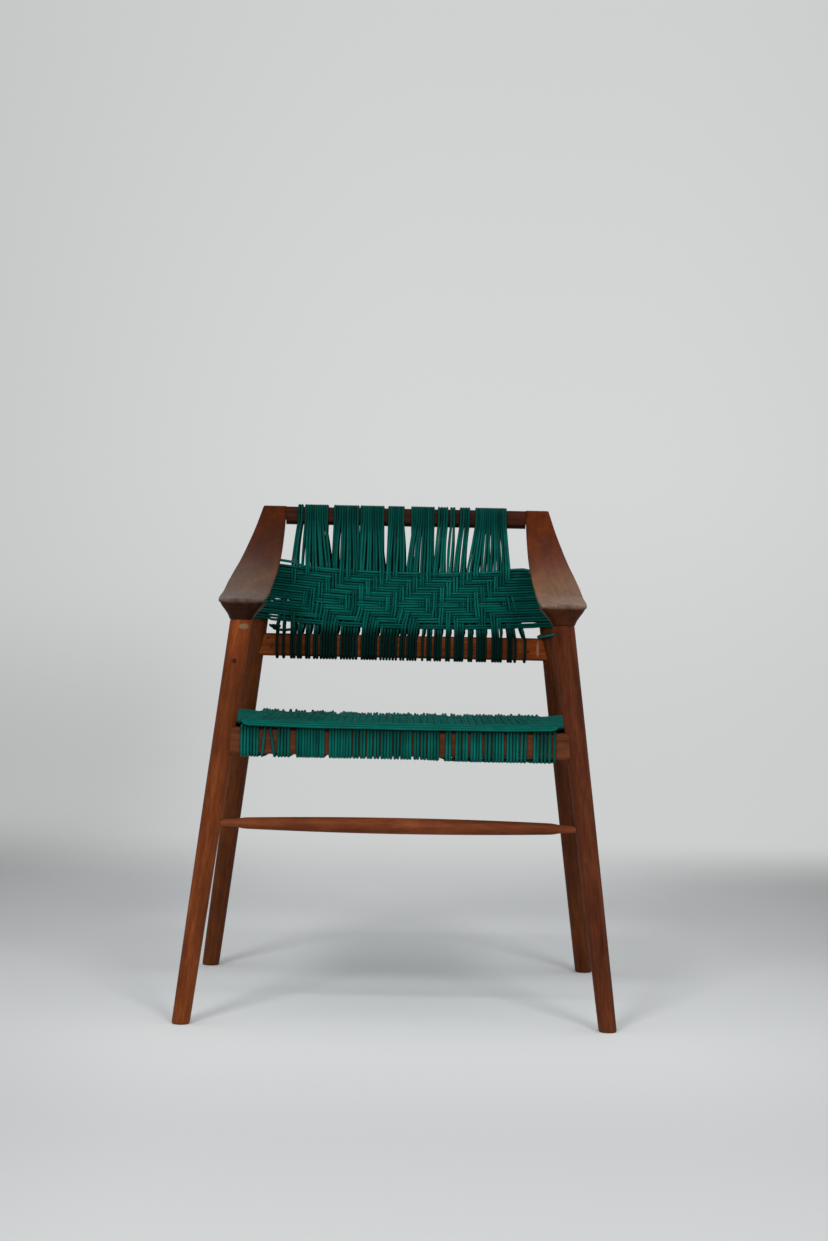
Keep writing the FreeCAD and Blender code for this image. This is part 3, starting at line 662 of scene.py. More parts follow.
def add_mesh(name, points, faces, flat=0):
    """Add a mesh over points in metres, smooth but for its last, flat faces."""
    mesh = bpy.data.meshes.new(name)
    mesh.from_pydata(np.asarray(points).tolist(), [], faces)
    mesh.polygons.foreach_set("use_smooth", np.arange(len(faces)) < len(faces) - flat)
    mesh.update()
    return add_object(name, mesh)


def skin(name, rings):
    """A closed mesh over rings of equal size, with a flat cap at each end."""
    rings = np.asarray(rings, dtype=float)
    count, sides, _ = rings.shape
    start = np.arange(count - 1)[:, None] * sides
    here = np.arange(sides)[None, :]
    beside = (here + 1) % sides
    corners = (start + here, start + beside, start + sides + beside, start + sides + here)
    quads = np.stack(corners, -1).reshape(-1, 4).tolist()
    caps = [list(range(sides))[::-1], [(count - 1) * sides + k for k in range(sides)]]
    return add_mesh(name, rings.reshape(-1, 3) * MM, quads + caps, flat=2)


def leg_rings(leg, sign):
    """Level rings of a leg, thickest at its waist and eased at both ends."""
    height = leg.top[2]
    # Heights, each with how much the radius falls short there.
    levels = [(0.0, 2.2), (0.5, 1.2), (1.4, 0.4), (2.8, 0.0)]
    levels += [(z, 0.0) for z in np.linspace(8.0, height - 1.2, 60)]
    levels += [(height - 0.5, 0.25), (height, 0.9)]
    bend = np.polyfit((0.0, LEG_WAIST_Z, height), leg.radii, 2)
    rings = []
    for z, less in levels:
        x, y, _ = leg.point(z) * (sign, 1, 1)
        radius = np.polyval(bend, z) - less
        rings.append([(x + radius * dx, y + radius * dy, z) for dx, dy in circle(ROUND_SIDES)])
    return rings


def arm_blade_rings(sign):
    """Upright slices of an arm: crowned top, thin edges and hollow bevels below."""
    shares = np.linspace(0, 1, 150)
    rises = curve_through(ARM_STATIONS, ARM_RISES, shares)
    widths = curve_through(ARM_STATIONS, ARM_WIDTHS, shares) * ARM_WIDTH
    depths = curve_through(ARM_STATIONS, ARM_THICKNESSES, shares) * ARM_THICKNESS
    rings = []
    for share, rise, width, depth in zip(shares, rises, widths, depths):
        y = ARM_FRONT_Y + ARM_LENGTH * share
        top = ARM_FRONT_TOP_Z + ARM_RISE * rise
        edge = top - ARM_EDGE
        outline = [
            (0.0, edge), (0.0, top - ARM_CORNER),
            (0.3 * ARM_CORNER, top - 0.3 * ARM_CORNER), (ARM_CORNER, top),
        ]
        crown = np.linspace(0.08, 0.92, 11)
        outline += [(width * s, top + ARM_CROWN * 4 * s * (1 - s)) for s in crown]
        outline += [(width - x, z) for x, z in outline[3::-1]]
        bevel = ARM_BEVEL * width
        low = top - depth
        under = []
        for s in np.linspace(0.15, 1, 6):
            sink = ARM_BEVEL_HOLLOW * bevel * 4 * s * (1 - s)
            under.append((bevel * s + sink * 0.5, edge + (low - edge) * s + sink))
        outline += [(width - x, z) for x, z in under]
        outline += under[::-1]
        ring = [(sign * (ARM_INNER_X + x), y, min(z, CHAIR_HEIGHT)) for x, z in outline]
        rings.append(ring[::-sign])
    return rings


def arm_neck_rings(sign):
    """The flare from the round top of the front leg to the squarer underside of the arm."""
    radius = FRONT_LEG.radii[2] + NECK_LIP
    top_x, top_y, top_z = FRONT_LEG.top
    middle_x = ARM_INNER_X + ARM_WIDTH * ARM_WIDTHS[0] / 2
    rings = []
    for level in np.linspace(0, NECK_OVERLAP, 22):
        spread_share = float(curve_through(NECK_LEVELS, NECK_SPREADS, min(level, 1.0)))
        half_x = lerp(radius, NECK_TOP_WIDTH / 2, spread_share)
        front = lerp(radius, NECK_FRONT_REACH, spread_share)
        rear = lerp(radius, NECK_REAR_REACH, spread_share)
        x = lerp(top_x, middle_x, spread_share)
        y = top_y + (rear - front) / 2
        z = top_z + NECK_HEIGHT * level
        half_y = (front + rear) / 2
        power = lerp(NECK_ROUND_POWER, NECK_SQUARE_POWER, spread_share)
        ring = []
        for dx, dy in circle(64):
            stretch = (abs(dx) ** power + abs(dy) ** power) ** (-1 / power)
            ring.append((sign * (x + half_x * stretch * dx), y + half_y * stretch * dy, z))
        rings.append(ring[::sign])
    return rings


def fuse(piece, other):
    """Join two forms, fuse them into one skin and ease its edges."""
    both = [piece, other]
    with bpy.context.temp_override(
        object=piece, active_object=piece, selected_objects=both, selected_editable_objects=both,
    ):
        bpy.ops.object.join()
    bpy.context.view_layer.objects.active = piece
    remesh = piece.modifiers.new("fuse", "REMESH")
    remesh.mode = "VOXEL"
    remesh.voxel_size = ARM_VOXEL
    remesh.use_smooth_shade = True
    smoother = piece.modifiers.new("ease", "SMOOTH")
    smoother.factor = 0.5
    smoother.iterations = 2
    for name in ("fuse", "ease"):
        with bpy.context.temp_override(
            object=piece, active_object=piece, selected_objects=[piece],
        ):
            bpy.ops.object.modifier_apply(modifier=name)


def stretcher_rings():
    """Rings of the turned stretcher, thick in the middle and thin at its ends."""
    reach, radii = zip(*STRETCHER_PROFILE)
    places = np.concatenate((np.linspace(0, 197, 34), STRETCHER_END_PLACES))
    sizes = curve_through(reach, radii, places)
    places = np.concatenate((-places[:0:-1], places))
    sizes = np.concatenate((sizes[:0:-1], sizes))
    return [
        [(x, STRETCHER_Y + radius * dy, STRETCHER_Z + radius * dz) for dy, dz in circle(40)]
        for x, radius in zip(places, sizes)
    ]


# ---------------- cord geometry

class Path:
    """The middle line of a cord, and the direction that its rings are turned by."""

    def __init__(self, points, guide, closed=True):
        self.points = np.asarray(points, dtype=float)
        self.guide = guide
        self.closed = closed

    def rings(self, radius):
        """Rings of points round the line, narrower at the ends of an open one."""
        track = self.points
        if self.closed:
            tangent = np.roll(track, -1, 0) - np.roll(track, 1, 0)
        else:
            tangent = np.gradient(track, axis=0)
        tangent /= np.linalg.norm(tangent, axis=1)[:, None]
        right = np.cross(tangent, self.guide)
        right /= np.linalg.norm(right, axis=1)[:, None]
        up = np.cross(right, tangent)
        radii = np.full(len(track), radius)
        if not self.closed:
            radii[[0, -1]] *= CUT_END_SHARE
        dx, dy = np.transpose(circle(CORD_SIDES))
        spokes = right[:, None] * dx[:, None] + up[:, None] * dy[:, None]
        return track[:, None] + spokes * radii[:, None, None]


def tube_mesh(name, paths, radius, tints, depth=None):
    """One mesh of round cords swept along paths in millimetres.

    Its UV map holds the way along and round each cord, in metres and turns. Depth is a
    function of the points that gives their painted shade: how dark they look, from 0 to 1.
    """
    points, quads, caps, lays, shades = [], [], [], [], []
    base = 0
    here = np.arange(CORD_SIDES)
    beside = (here + 1) % CORD_SIDES
    for path, tint in zip(paths, tints):
        count = len(path.points)
        runs = count if path.closed else count - 1
        points.append(path.rings(radius).reshape(-1, 3))
        start = np.arange(runs)[:, None]
        after = base + (start + 1) % count * CORD_SIDES
        start = base + start * CORD_SIDES
        corners = (after + here, after + beside, start + beside, start + here)
        quads.append(np.stack(corners, -1).reshape(-1, 4))
        steps = np.linalg.norm(np.roll(path.points, -1, 0) - path.points, axis=1)
        along = np.concatenate(((0.0,), np.cumsum(steps)))
        low_u = np.repeat(along[:runs], CORD_SIDES) * MM
        high_u = np.repeat(along[1:runs + 1], CORD_SIDES) * MM
        low_v = np.tile(here, runs) / CORD_SIDES
        high_v = low_v + 1 / CORD_SIDES
        lays.append(np.stack((high_u, low_v, high_u, high_v, low_u, high_v, low_u, low_v), -1))
        if not path.closed:
            last = base + (count - 1) * CORD_SIDES
            caps += [(base + here)[::-1].tolist(), (last + here).tolist()]
        shades.append(np.full(count * CORD_SIDES, tint))
        base += count * CORD_SIDES
    places = np.concatenate(points)
    piece = add_mesh(name, places * MM, np.concatenate(quads).tolist() + caps)
    lay = np.append(np.concatenate(lays), np.zeros(2 * CORD_SIDES * len(caps)))
    piece.data.uv_layers.new(name="lay").data.foreach_set("uv", lay.astype(np.float32))
    # How dark each point is painted, as shade.
    levels = np.zeros(len(places)) if depth is None else np.clip(depth(places), 0, 1)
    for key, values in (("tint", np.concatenate(shades)), ("depth", levels)):
        attribute = piece.data.attributes.new(key, "FLOAT", "POINT")
        attribute.data.foreach_set("value", values.astype(np.float32))
    return piece


def spread(groups):
    """Middles of all the cords of some groups."""
    places = []
    for start, end, count in groups:
        step = (end - start) / count
        places += [start + step * (index + 0.5) for index in range(count)]
    return places


def rail_turn(x, rail, gap, up):
    """Half turn of a cord over a rail from front to rear (up 1), or back under it (up -1)."""
    radius = rail.round + gap
    start, steps = (180, 6) if up > 0 else (0, 5)
    turn = arc(rail.edge(-up, up), radius, start, start - 90, steps)
    turn += arc(rail.edge(up, up), radius, start - 90, start - 180, steps)
    return [(x, y, z) for y, z in turn]


class Weave:
    """A field where pairs of cords that run along its columns cross the pairs of its rows.

    They lie in a twill that steps by one column a row, and its lines meet in points at
    the apex row. Half is half the thickness of a cord, and gap the way from wood to the
    middle of a cord.
    """

    def __init__(self, half, row_count, apex_row, columns, middle_x, pitch):
        self.half = half
        self.gap = CLEARANCE + half
        self.last_row = row_count - 1
        self.apex_row = apex_row
        self.columns = columns
        self.middle_x = middle_x
        self.pitch = pitch

    def column_x(self, column):
        return self.middle_x + self.pitch * column

    def cord_x(self, index, column):
        """Place of a cord that is the left (even index) or right one of its pair."""
        return self.column_x(column) + (-1 if index % 2 == 0 else 1) * (self.half + PAIR_GAP)

    def state(self, row, column):
        """1 where the pair along the column lies on top, -1 where the row's pair does."""
        return 1.0 if (column - abs(row - self.apex_row) + 1) % 6 < 3 else -1.0

    def lift_along(self, column, row):
        """Signed lift of the pair along a column at a row or between two, 0 outside."""
        def state(at):
            return self.state(min(max(at, 0), self.last_row), column)
        return self.blend(state, row) * ease(1 + row) * ease(self.last_row + 1 - row)

    def lift_across(self, row, x):
        """Signed lift of a row's pair at a distance from the middle, 0 past the columns."""
        def state(column):
            return -self.state(row, column) if column in self.columns else 0.0
        return self.blend(state, (x - self.column_x(0)) / self.pitch)

    @staticmethod
    def blend(state, place):
        """Change from one crossing's state to the next, flat on top of each pair."""
        low = int(math.floor(place))
        return lerp(state(low), state(low + 1), ease((place - low - 0.22) / 0.56))


class BackWeave(Weave):
    """The woven band of the back, in a front and a rear layer; its top row is row 0."""

    def __init__(self, half):
        super().__init__(
            half, BACK_ROW_COUNT, BACK_APEX_ROW, BACK_COLUMNS, BACK_MIDDLE_COLUMN_X, BACK_PITCH,
        )
        self.reach = REAR_LEG.radii[1] + self.gap

    def column_x(self, column):
        return super().column_x(column) + BACK_COLUMN_SHIFTS.get(column, 0.0)

    def depth(self, x, z, side):
        """Middle of one layer of cords, bent round the rear legs at its ends."""
        leg = REAR_LEG.point(z)
        share = (z - LOWER_RAIL.level(1)) / (CREST.level(-1) - LOWER_RAIL.level(1))
        near, far = LOWER_RAIL.face(side, self.half), CREST.face(side, self.half)
        middle = lerp(near, far, share) - BACK_HOLLOW * ease(share * 2.2)
        edge = leg[1] + side * self.reach
        return lerp(middle, edge, min(1.0, (x / leg[0]) ** 2))

    def row_z(self, row, x):
        """Height of a cross pair: it hangs a little lower midway than at the legs."""
        share = min(1.0, abs(x) / BACK_EDGE_X) ** 2
        rise, stretch = BACK_LEFT_RISE if x < 0 else BACK_RIGHT_RISE
        from_low = BACK_ROW_PITCH * (self.last_row - row)
        low = BACK_TOP_ROW_Z - BACK_ROW_PITCH * self.last_row
        drop = BACK_LAST_ROW_DROP if row == self.last_row else 0.0
        return low + from_low * (1 + stretch * share) + rise * share - drop

    def through_band(self, side, column, x_at, wave, first_row=0):
        """An upright's points down through the band, where x_at gives its place at a row."""
        points = []
        for step in range((self.last_row - first_row + 2) * 3 + 1):
            row = first_row - 1 + step / 3
            above = min(max(int(math.floor(row)), 0), self.last_row - 1)
            x = x_at(row)
            z = lerp(self.row_z(above, x), self.row_z(above + 1, x), row - above)
            x += UPRIGHT_WAVER * math.sin(wave + z * 0.12)
            lift = self.lift_along(column, row)
            points.append((x, self.depth(x, z, side) + side * lift * self.half, z))
        return points

    def to_lower_rail(self, points, side, low_x):
        """An upright's points, led on from the band to the face of the lower rail."""
        x, y, z = points[-1]
        end_y = LOWER_RAIL.face(side, self.gap)
        end_z = LOWER_RAIL.edge(side, 1)[1]
        return points + [
            (lerp(x, low_x, share), lerp(y, end_y, ease(share)), lerp(z, end_z, share))
            for share in (0.3, 0.65, 1.0)
        ]

    def full_loop(self, index, top_x, low_x, rng):
        """A loop round both rails, woven in front and behind."""
        column = self.columns[index // 2]
        mid_x = self.cord_x(index, column)
        slack = rng.uniform(-1.0, 1.0)
        wave = rng.uniform(0, 6.28)
        covered = rng.random() > 0.35 or index % 2 == 1
        outer = mid_x > OUTER_RIGHT_X or mid_x < OUTER_LEFT_X
        fan_row = OUTER_FAN_ROW if outer else INNER_FAN_ROW
        rear_shift = REAR_SHIFT if covered else REAR_SHIFT_BARE
        if column == self.columns[-1]:
            rear_shift = -rear_shift

        def run(side):
            """From the crest down to the lower rail on one side."""
            shift = rear_shift if side > 0 else 0.0

            def x_at(row):
                """Straight at first, then fanning out towards its place on the rail."""
                share = min(1.0, max(0.0, (row - fan_row) / (self.last_row + 1 - fan_row)))
                share = share if outer else ease(share)
                return mid_x + (low_x - mid_x) * FAN_SHARE * share + shift

            points = [(top_x, CREST.face(side, self.gap), CREST.edge(side, -1)[1])]
            if side > 0:
                bend = arc(CREST.edge(1, -1), CREST.round + self.gap, 0, -28, 4)
                points = [(top_x, y, z) for y, z in bend]
            band = self.through_band(side, column, x_at, wave)
            first, entry = np.array(points[-1]), np.array(band[0])
            sway = np.array((0.9 if side < 0 else 1.4, 0.8, 0.0)) * slack
            for step in range(1, 8):
                points.append(lerp(first, entry, step / 8) + sway * math.sin(math.pi * step / 8))
            return self.to_lower_rail(points + band, side, low_x)

        loop = rail_turn(top_x, CREST, self.gap, 1) + run(1)
        loop += rail_turn(low_x, LOWER_RAIL, self.gap, -1) + run(-1)[::-1]
        return Path(loop, X_AXIS)

    def inner_loop(self, top_x, lean, rng):
        """A loop that hangs between the layers and ends inside the band."""
        wave = rng.uniform(-1.0, 1.0)
        end_z = self.row_z(3, top_x)

        def hang(side):
            start_y, start_z = CREST.face(side, self.gap), CREST.edge(side, -1)[1]
            end_y = self.depth(top_x, end_z, side) - side * INNER_DEPTH
            points = []
            for share in np.linspace(0, 1, 13):
                x = top_x + wave * math.sin(math.pi * share) + lean * (2.3 + 0.5 * side) * share
                points.append((x, lerp(start_y, end_y, share), lerp(start_z, end_z, share)))
            return points

        rear, front = hang(1), hang(-1)
        loop = rail_turn(top_x, CREST, self.gap, 1) + rear
        loop += bridge(rear[-1], front[-1], 3, -2.0) + front[::-1]
        return Path(loop, X_AXIS)

    def short_loop(self, low_x, high_x, first_row):
        """A loop round the lower rail that reaches only part of the way up the band."""
        span = self.last_row + 1 - first_row

        def x_at(row):
            return lerp(high_x, low_x, max(0.0, (row - first_row) / span))

        rear, front = (
            self.through_band(side, SHORT_LOOP_COLUMN, x_at, 0.0, first_row) for side in (1, -1)
        )
        loop = self.to_lower_rail(rear, 1, low_x) + rail_turn(low_x, LOWER_RAIL, self.gap, -1)
        loop += self.to_lower_rail(front, -1, low_x)[::-1] + bridge(front[0], rear[0], 4, 3.0)
        return Path(loop, X_AXIS)

    def cross_loop(self, row, pair, rng):
        """A loop round both rear legs: the upper (pair -1) or lower cord of a row."""
        wander = rng.uniform(0, 6.28)
        stray = rng.uniform(0.1, 0.45)
        rear_rise = REAR_RISE if row > 0 else REAR_RISE_TOP_ROW
        edge = REAR_LEG.point(self.row_z(row, BACK_EDGE_X))[0]

        def height(x):
            drift = 0.3 * math.sin(wander + x * 0.03)
            drift += stray * math.sin(wander * 2 + x * 0.011) * abs(x) / BACK_EDGE_X
            place = self.row_z(row, x) - pair * (self.half * PAIR_SQUEEZE)
            return place + drift + top_row_lift(row, pair, x)

        def layer(side):
            points = []
            for x in np.linspace(-edge, edge, 133):
                z = height(x) + (rear_rise if side > 0 else 0.0)
                if side > 0 and x > 0:
                    z -= REAR_LIFT_LOSS * top_row_lift(row, pair, x)
                z += slit_shift(x, z)
                lift = self.lift_across(row, x)
                points.append((x, self.depth(x, z, side) + side * lift * self.half, z))
            return points

        def wrap(sign):
            """Half turn round a leg, which rises towards the rear layer."""
            z = height(sign * BACK_EDGE_X)
            leg = REAR_LEG.point(z)
            turn = arc((sign * leg[0], leg[1]), self.reach, -90 * sign, 180 - 90 * sign, 11)
            rises = np.linspace(0, rear_rise, 11)[::sign]
            return [(x, y, z + rise) for (x, y), rise in zip(turn, rises)][1:-1]

        return Path(layer(-1) + wrap(1) + layer(1)[::-1] + wrap(-1), Z_AXIS)


def top_row_lift(row, pair, x):
    """How far the upper cross cords stand up loose beside the outermost uprights."""
    left, right = TOP_ROW_LIFTS.get((row, pair), (0.0, 0.0))
    left *= ease(-x, 150.0, 172.0) * (1 - 0.35 * ease(-x, 188.0, 206.0))
    right *= ease(x, 146.0, 160.0) * (1 - ease(x, 176.0, 190.0))
    return left + right


def slit_shift(x, z):
    """How far a cross cord gives way to the openings beside the legs."""
    shift = 0.0
    for start, end, middle in BACK_SLITS:
        left, right = x - start + SLIT_MARGIN, end + SLIT_MARGIN - x
        width = ease(left / 5.0) * ease(right / 5.0)
        fade = math.exp(-abs(z - middle) / SLIT_FADE)
        shift += math.copysign(SLIT_SHIFT, z - middle) * width * fade
    return shift


def back_upright_paths(half):
    """Full loops, then the ones that hang inside, then the short ones at the lower rail."""
    weave = BackWeave(half)
    rng = random.Random(7)
    tops = spread(CREST_GROUPS)
    inner = [tops[index] for index in INNER_CORDS]
    outer = [x for index, x in enumerate(tops) if index not in INNER_CORDS]
    ends = enumerate(zip(outer, spread(LOWER_GROUPS)))
    paths = [weave.full_loop(index, top_x, low_x, rng) for index, (top_x, low_x) in ends]
    paths += [weave.inner_loop(top_x, lean, rng) for top_x, lean in zip(inner, INNER_LEANS)]
    return paths + [weave.short_loop(*places) for places in SHORT_LOOPS]


def back_cross_paths(half):
    """Loops round both rear legs, woven through the upright cords."""
    weave = BackWeave(half)
    rng = random.Random(11)
    return [weave.cross_loop(row, pair, rng) for row in range(BACK_ROW_COUNT) for pair in (-1, 1)]


def back_painted_shade(places):
    """Painted shade: the back's cords look darker inside, round the crest rail, low and near the
    legs.
    """
    x, y, z = places.T
    share = np.clip((z - BAND_TOP_Z) / (CREST.level(-1) - BAND_TOP_Z), 0, 1)
    outward = np.minimum(1.0, (x / BAND_TOP_LEG_X) ** 2)
    middle = lerp(lerp(BAND_TOP_MIDDLE_Y, BAND_TOP_LEG_Y, outward), CREST.across, share)
    layer = lerp(BAND_TOP_LAYER + BAND_TOP_LAYER_SPREAD * outward, CREST_LAYER, share)
    rear_front = (1 - ease(y - middle - layer, -1.7, -0.3)) * ease(y - middle, 0.0, 6.0)
    inside = 0.85 * rear_front * ease(z, 608.0, 620.0) * (1 - ease(z, 672.0, 684.0))
    crest = 0.18 * ease(z, 612.0, 635.0) + 0.34 * ease(z, 664.0, 684.0)
    low = 0.86 * (1 - ease(z, 514.0, 532.0))
    sides = 0.36 * ease(np.abs(x), 100.0, 190.0) * (1 - ease(z, 604.0, 620.0))
    return np.maximum.reduce((crest, inside, low, sides))


class SeatWeave(Weave):
    """The woven seat, whose cross cords are counted from the front.

    The first ones lie over the front rail. All of them fan a little, so that they pass
    behind the front legs at the side rails.
    """

    def __init__(self, half):
        column_count = sum(count for _, _, count in SEAT_GROUPS) // 2
        first_x = SEAT_GROUPS[0][0] + 2 * half
        last_x = SEAT_GROUPS[-1][1] - 2 * half
        row_count = (SEAT_CROSS_COUNT - SEAT_FREE_COUNT) // 2
        super().__init__(
            half, row_count, row_count // 2, range(column_count),
            first_x, (last_x - first_x) / (column_count - 1),
        )
        self.corner = FRONT_RAIL.edge(-1, 1)
        self.reach = FRONT_RAIL.round + self.gap + 2 * half

    def middle_y(self, index):
        """Depth of a cross cord midway: round the front rail's corner, then level."""
        angle = math.radians(SEAT_BENT_ANGLE - SEAT_BENT_STEP * index)
        if angle > math.pi / 2:
            return self.corner[0] + self.reach * math.cos(angle)
        share = (index - SEAT_BENT_COUNT) / (SEAT_CROSS_COUNT - 1 - SEAT_BENT_COUNT)
        start = self.corner[0] + SEAT_LEVEL_START
        return lerp(start, REAR_RAIL.face(-1) - SEAT_LEVEL_END, share)

    def sink(self, y):
        """How far a cross cord lies below the level ones where it bends over the front rail."""
        ahead = min(self.reach, max(0.0, self.corner[0] - y))
        return math.sqrt(self.reach ** 2 - ahead ** 2) - self.reach

    def rail_y(self, index):
        """Depth of a cross cord at the side rails."""
        return SEAT_WOUND_Y + SEAT_WOUND_DEPTH * index / (SEAT_CROSS_COUNT - 1)

    def line_y(self, index, x):
        """Depth of a cross cord at a distance from the middle.

        It turns towards its place on the side rail, the rear ones sooner and more gently.
        """
        share = ease((index - SEAT_BENT_COUNT) / 10.0)
        start = lerp(SEAT_TURN_START[0], SEAT_TURN_START[1], share)
        turn = ease((abs(x) - start) / lerp(SEAT_TURN_RUN[0], SEAT_TURN_RUN[1], share))
        return lerp(self.middle_y(index), self.rail_y(index), turn)

    def height(self, x, y):
        """Middle of the woven layer: level with the rails at its edges, sagging inside."""
        across = min(1.0, abs(x) / SEAT_EDGE_X)
        deep = min(1.0, abs(y - SEAT_MIDDLE_Y) / SEAT_HALF_DEPTH)
        rise = SEAT_EDGE_RISE * across ** 3
        return FRONT_RAIL.level(1, self.gap) + rise - SEAT_SAG * (1 - across ** 2) * (1 - deep ** 2)

    def long_loop(self, index, rail_x, rng):
        """A loop round the front and rear seat rails, woven on top."""
        column = index // 2
        mid_x = self.cord_x(index, column)
        slant = [rng.uniform(-SEAT_MOST_SLANT, SEAT_MOST_SLANT) for _ in range(2)]
        top_dx, low_dx = SEAT_SLANTS.get(index, slant)
        wave = rng.uniform(0, 6.28)
        slack = rng.uniform(0.0, 1.0)

        # Up the face of the front rail, which it leaves a little below on the right.
        loose = 0.3 * slack + 1.7 * ease(rail_x, 40.0, 100.0)
        radius = FRONT_RAIL.round + self.gap
        (y, low), (_, high) = FRONT_RAIL.edge(-1, -1), FRONT_RAIL.edge(-1, 1)
        face = arc((y, low - loose), radius, -70, -180, 6)
        face += [(FRONT_RAIL.face(-1, self.gap) - 0.3 * slack, FRONT_RAIL.z)]
        face += arc((y, high), radius, 180, 90, 6)
        loop = [(rail_x + lerp(low_dx, top_dx, (z - low) / (high - low)), y, z) for y, z in face]

        # Through the weave.
        steps = (self.last_row + 2) * 2
        for step in range(steps + 1):
            row = -1 + step / 2
            y = self.line_y(SEAT_FREE_COUNT + 0.5 + 2 * row, mid_x)
            inward = ease(min(step, steps - step) / 10.0)
            x = lerp(rail_x + top_dx, mid_x, inward) + 0.3 * math.sin(wave + y * 0.1) * inward
            loop.append((x, y, self.height(x, y) + self.lift_along(column, row) * self.half))

        # Over the rear rail, where each stands up in a bump of its own.
        radius = REAR_RAIL.round + self.gap
        (y, high), (_, low) = REAR_RAIL.edge(1, 1), REAR_RAIL.edge(1, -1)
        bump = 1.6 + 2.4 * slack + 3.2 * (abs(rail_x) / SEAT_EDGE_X) ** 3
        bump += 0.8 * ease(-rail_x, 60.0, 160.0)
        face = arc((y - 4, high + bump), radius, 100, 40, 4) + arc((y, high), radius, 20, 0, 2)
        face += [(REAR_RAIL.face(1, self.gap), REAR_RAIL.z)] + arc((y, low), radius, 0, -90, 5)
        loop += [(rail_x, y, z) for y, z in face]

        # Back under the seat, hanging lower on the right.
        below = REAR_RAIL.level(-1, self.gap)
        hang = 3.0 + 7.0 * ease(rail_x, -10.0, 60.0) + 0.3 * slack
        for step in range(1, 20):
            share = step / 20
            wind = 0.3 * math.sin(wave + 7 * share) * math.sin(math.pi * share)
            y = lerp(REAR_RAIL.across, FRONT_RAIL.across, share)
            loop.append((rail_x + low_dx * share + wind, y, below - hang * 4 * share * (1 - share)))
        return Path(loop, X_AXIS)

    def cross_loop(self, index, rng):
        """A loop round both side rails; the first ones lie over the front rail."""
        wander = rng.uniform(0, 6.28)
        stray = rng.uniform(0.2, 0.8) if index > SEAT_BENT_COUNT else rng.uniform(0.0, 0.2)
        row = (index - SEAT_FREE_COUNT) // 2
        free = index < SEAT_FREE_COUNT
        bent = index < SEAT_BENT_COUNT
        y_rail = self.rail_y(index)
        share = (y_rail - SIDE_RAIL_FRONT[1]) / (SIDE_RAIL_REAR[1] - SIDE_RAIL_FRONT[1])
        edge, high = SIDE_RAIL.edge(1, 1)
        edge += lerp(SIDE_RAIL_FRONT[0], SIDE_RAIL_REAR[0], share)
        low = SIDE_RAIL.edge(1, -1)[1]
        top = SIDE_RAIL.level(1, self.gap)

        # Through the weave, or over the front rail.
        loop = []
        for x in np.linspace(-edge, edge, 121):
            y = self.line_y(index, x)
            wave = math.sin(wander + x * 0.05)
            z = self.height(x, y) + (1.0 if free else self.lift_across(row, x)) * self.half
            if free:
                z += self.half + stray * wave
                z += self.sink(y) - 4.0 * ease(abs(x), 208.0, 216.0)
            loop.append((x, y + 0.3 * wave, lerp(top, z, ease((edge - abs(x)) / 26.0))))

        # Round one side rail, back underneath (a bent one lower on the right) and round the other.
        radius = SIDE_RAIL.round + self.gap
        turn = arc((edge, high), radius, 90, 0, 6)[1:] + arc((edge, low), radius, 0, -90, 6)
        loop += [(x, y_rail, z) for x, z in turn]
        below = turn[-1][1]
        count = 42 if bent else 14
        for share in (step / count for step in range(1, count)):
            x = edge - 2 * edge * share
            drop = SEAT_BENT_HANG * ease(x, 20.0, 70.0) * ease(-x, -222.0, -202.0) if bent else 0.0
            loop.append((x, y_rail, below - drop - 1.2 * math.sin(math.pi * share)))
        loop += [(-x, y_rail, z) for x, z in turn[::-1]]
        tilt = math.radians(max(0.0, SEAT_BENT_ANGLE - 90.0 - SEAT_BENT_STEP * index))
        return Path(loop, (0.0, math.cos(tilt), math.sin(tilt)))


def seat_long_paths(half):
    """Loops round the front and rear seat rails, woven on top."""
    weave = SeatWeave(half)
    rng = random.Random(3)
    return [weave.long_loop(index, x, rng) for index, x in enumerate(spread(SEAT_GROUPS))]


def seat_cross_paths(half):
    """Loops round both side rails, woven on top."""
    weave = SeatWeave(half)
    rng = random.Random(5)
    return [weave.cross_loop(index, rng) for index in range(SEAT_CROSS_COUNT)]


def seat_painted_shade(places):
    """Painted shadow: the long cords are painted darker just under the cross cords of the front
    rail.
    """
    _, y, z = places.T
    below_band = ease(z, 382.5, 386.5) * (1 - ease(z, 390.5, 393.0))
    return 0.6 * below_band * (1 - ease(y, -229.0, -225.0))


# ---------------- what a user can change

class ChairCord(bpy.types.PropertyGroup):
    diameter: bpy.props.FloatProperty(
        name="Cord diameter", description="Thickness of the cord", default=0.0039, unit="LENGTH",
    )
    dark: bpy.props.FloatVectorProperty(
        name="Cord, shaded", description="Colour of the grooves between the strands",
        default=linear(0, 40, 35), size=3, subtype="COLOR",
    )
    light: bpy.props.FloatVectorProperty(
        name="Cord, lit", description="Colour of the tops of the strands",
        default=linear(9, 126, 113), size=3, subtype="COLOR",
    )


class ChairStage(bpy.types.PropertyGroup):
    floor: bpy.props.FloatVectorProperty(
        name="Floor", description="Colour of the floor and the backdrop",
        default=(0.72, 0.73, 0.73), size=3, subtype="COLOR",
    )
    camera_height: bpy.props.FloatProperty(
        name="Camera height", description="Height of the lens above the floor",
        default=0.5235, unit="LENGTH",
    )
    camera_distance: bpy.props.FloatProperty(
        name="Camera distance", description="Distance of the lens in front of the chair's middle",
        default=3.0955, unit="LENGTH",
    )


# ---------------- operators

def dress(piece, material, slot, *nodes):
    """Give a piece its material and body, and hide the parts of the frame that it stands for."""
    piece.data.materials.append(material)
    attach(piece, ROOT)
    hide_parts(*nodes)


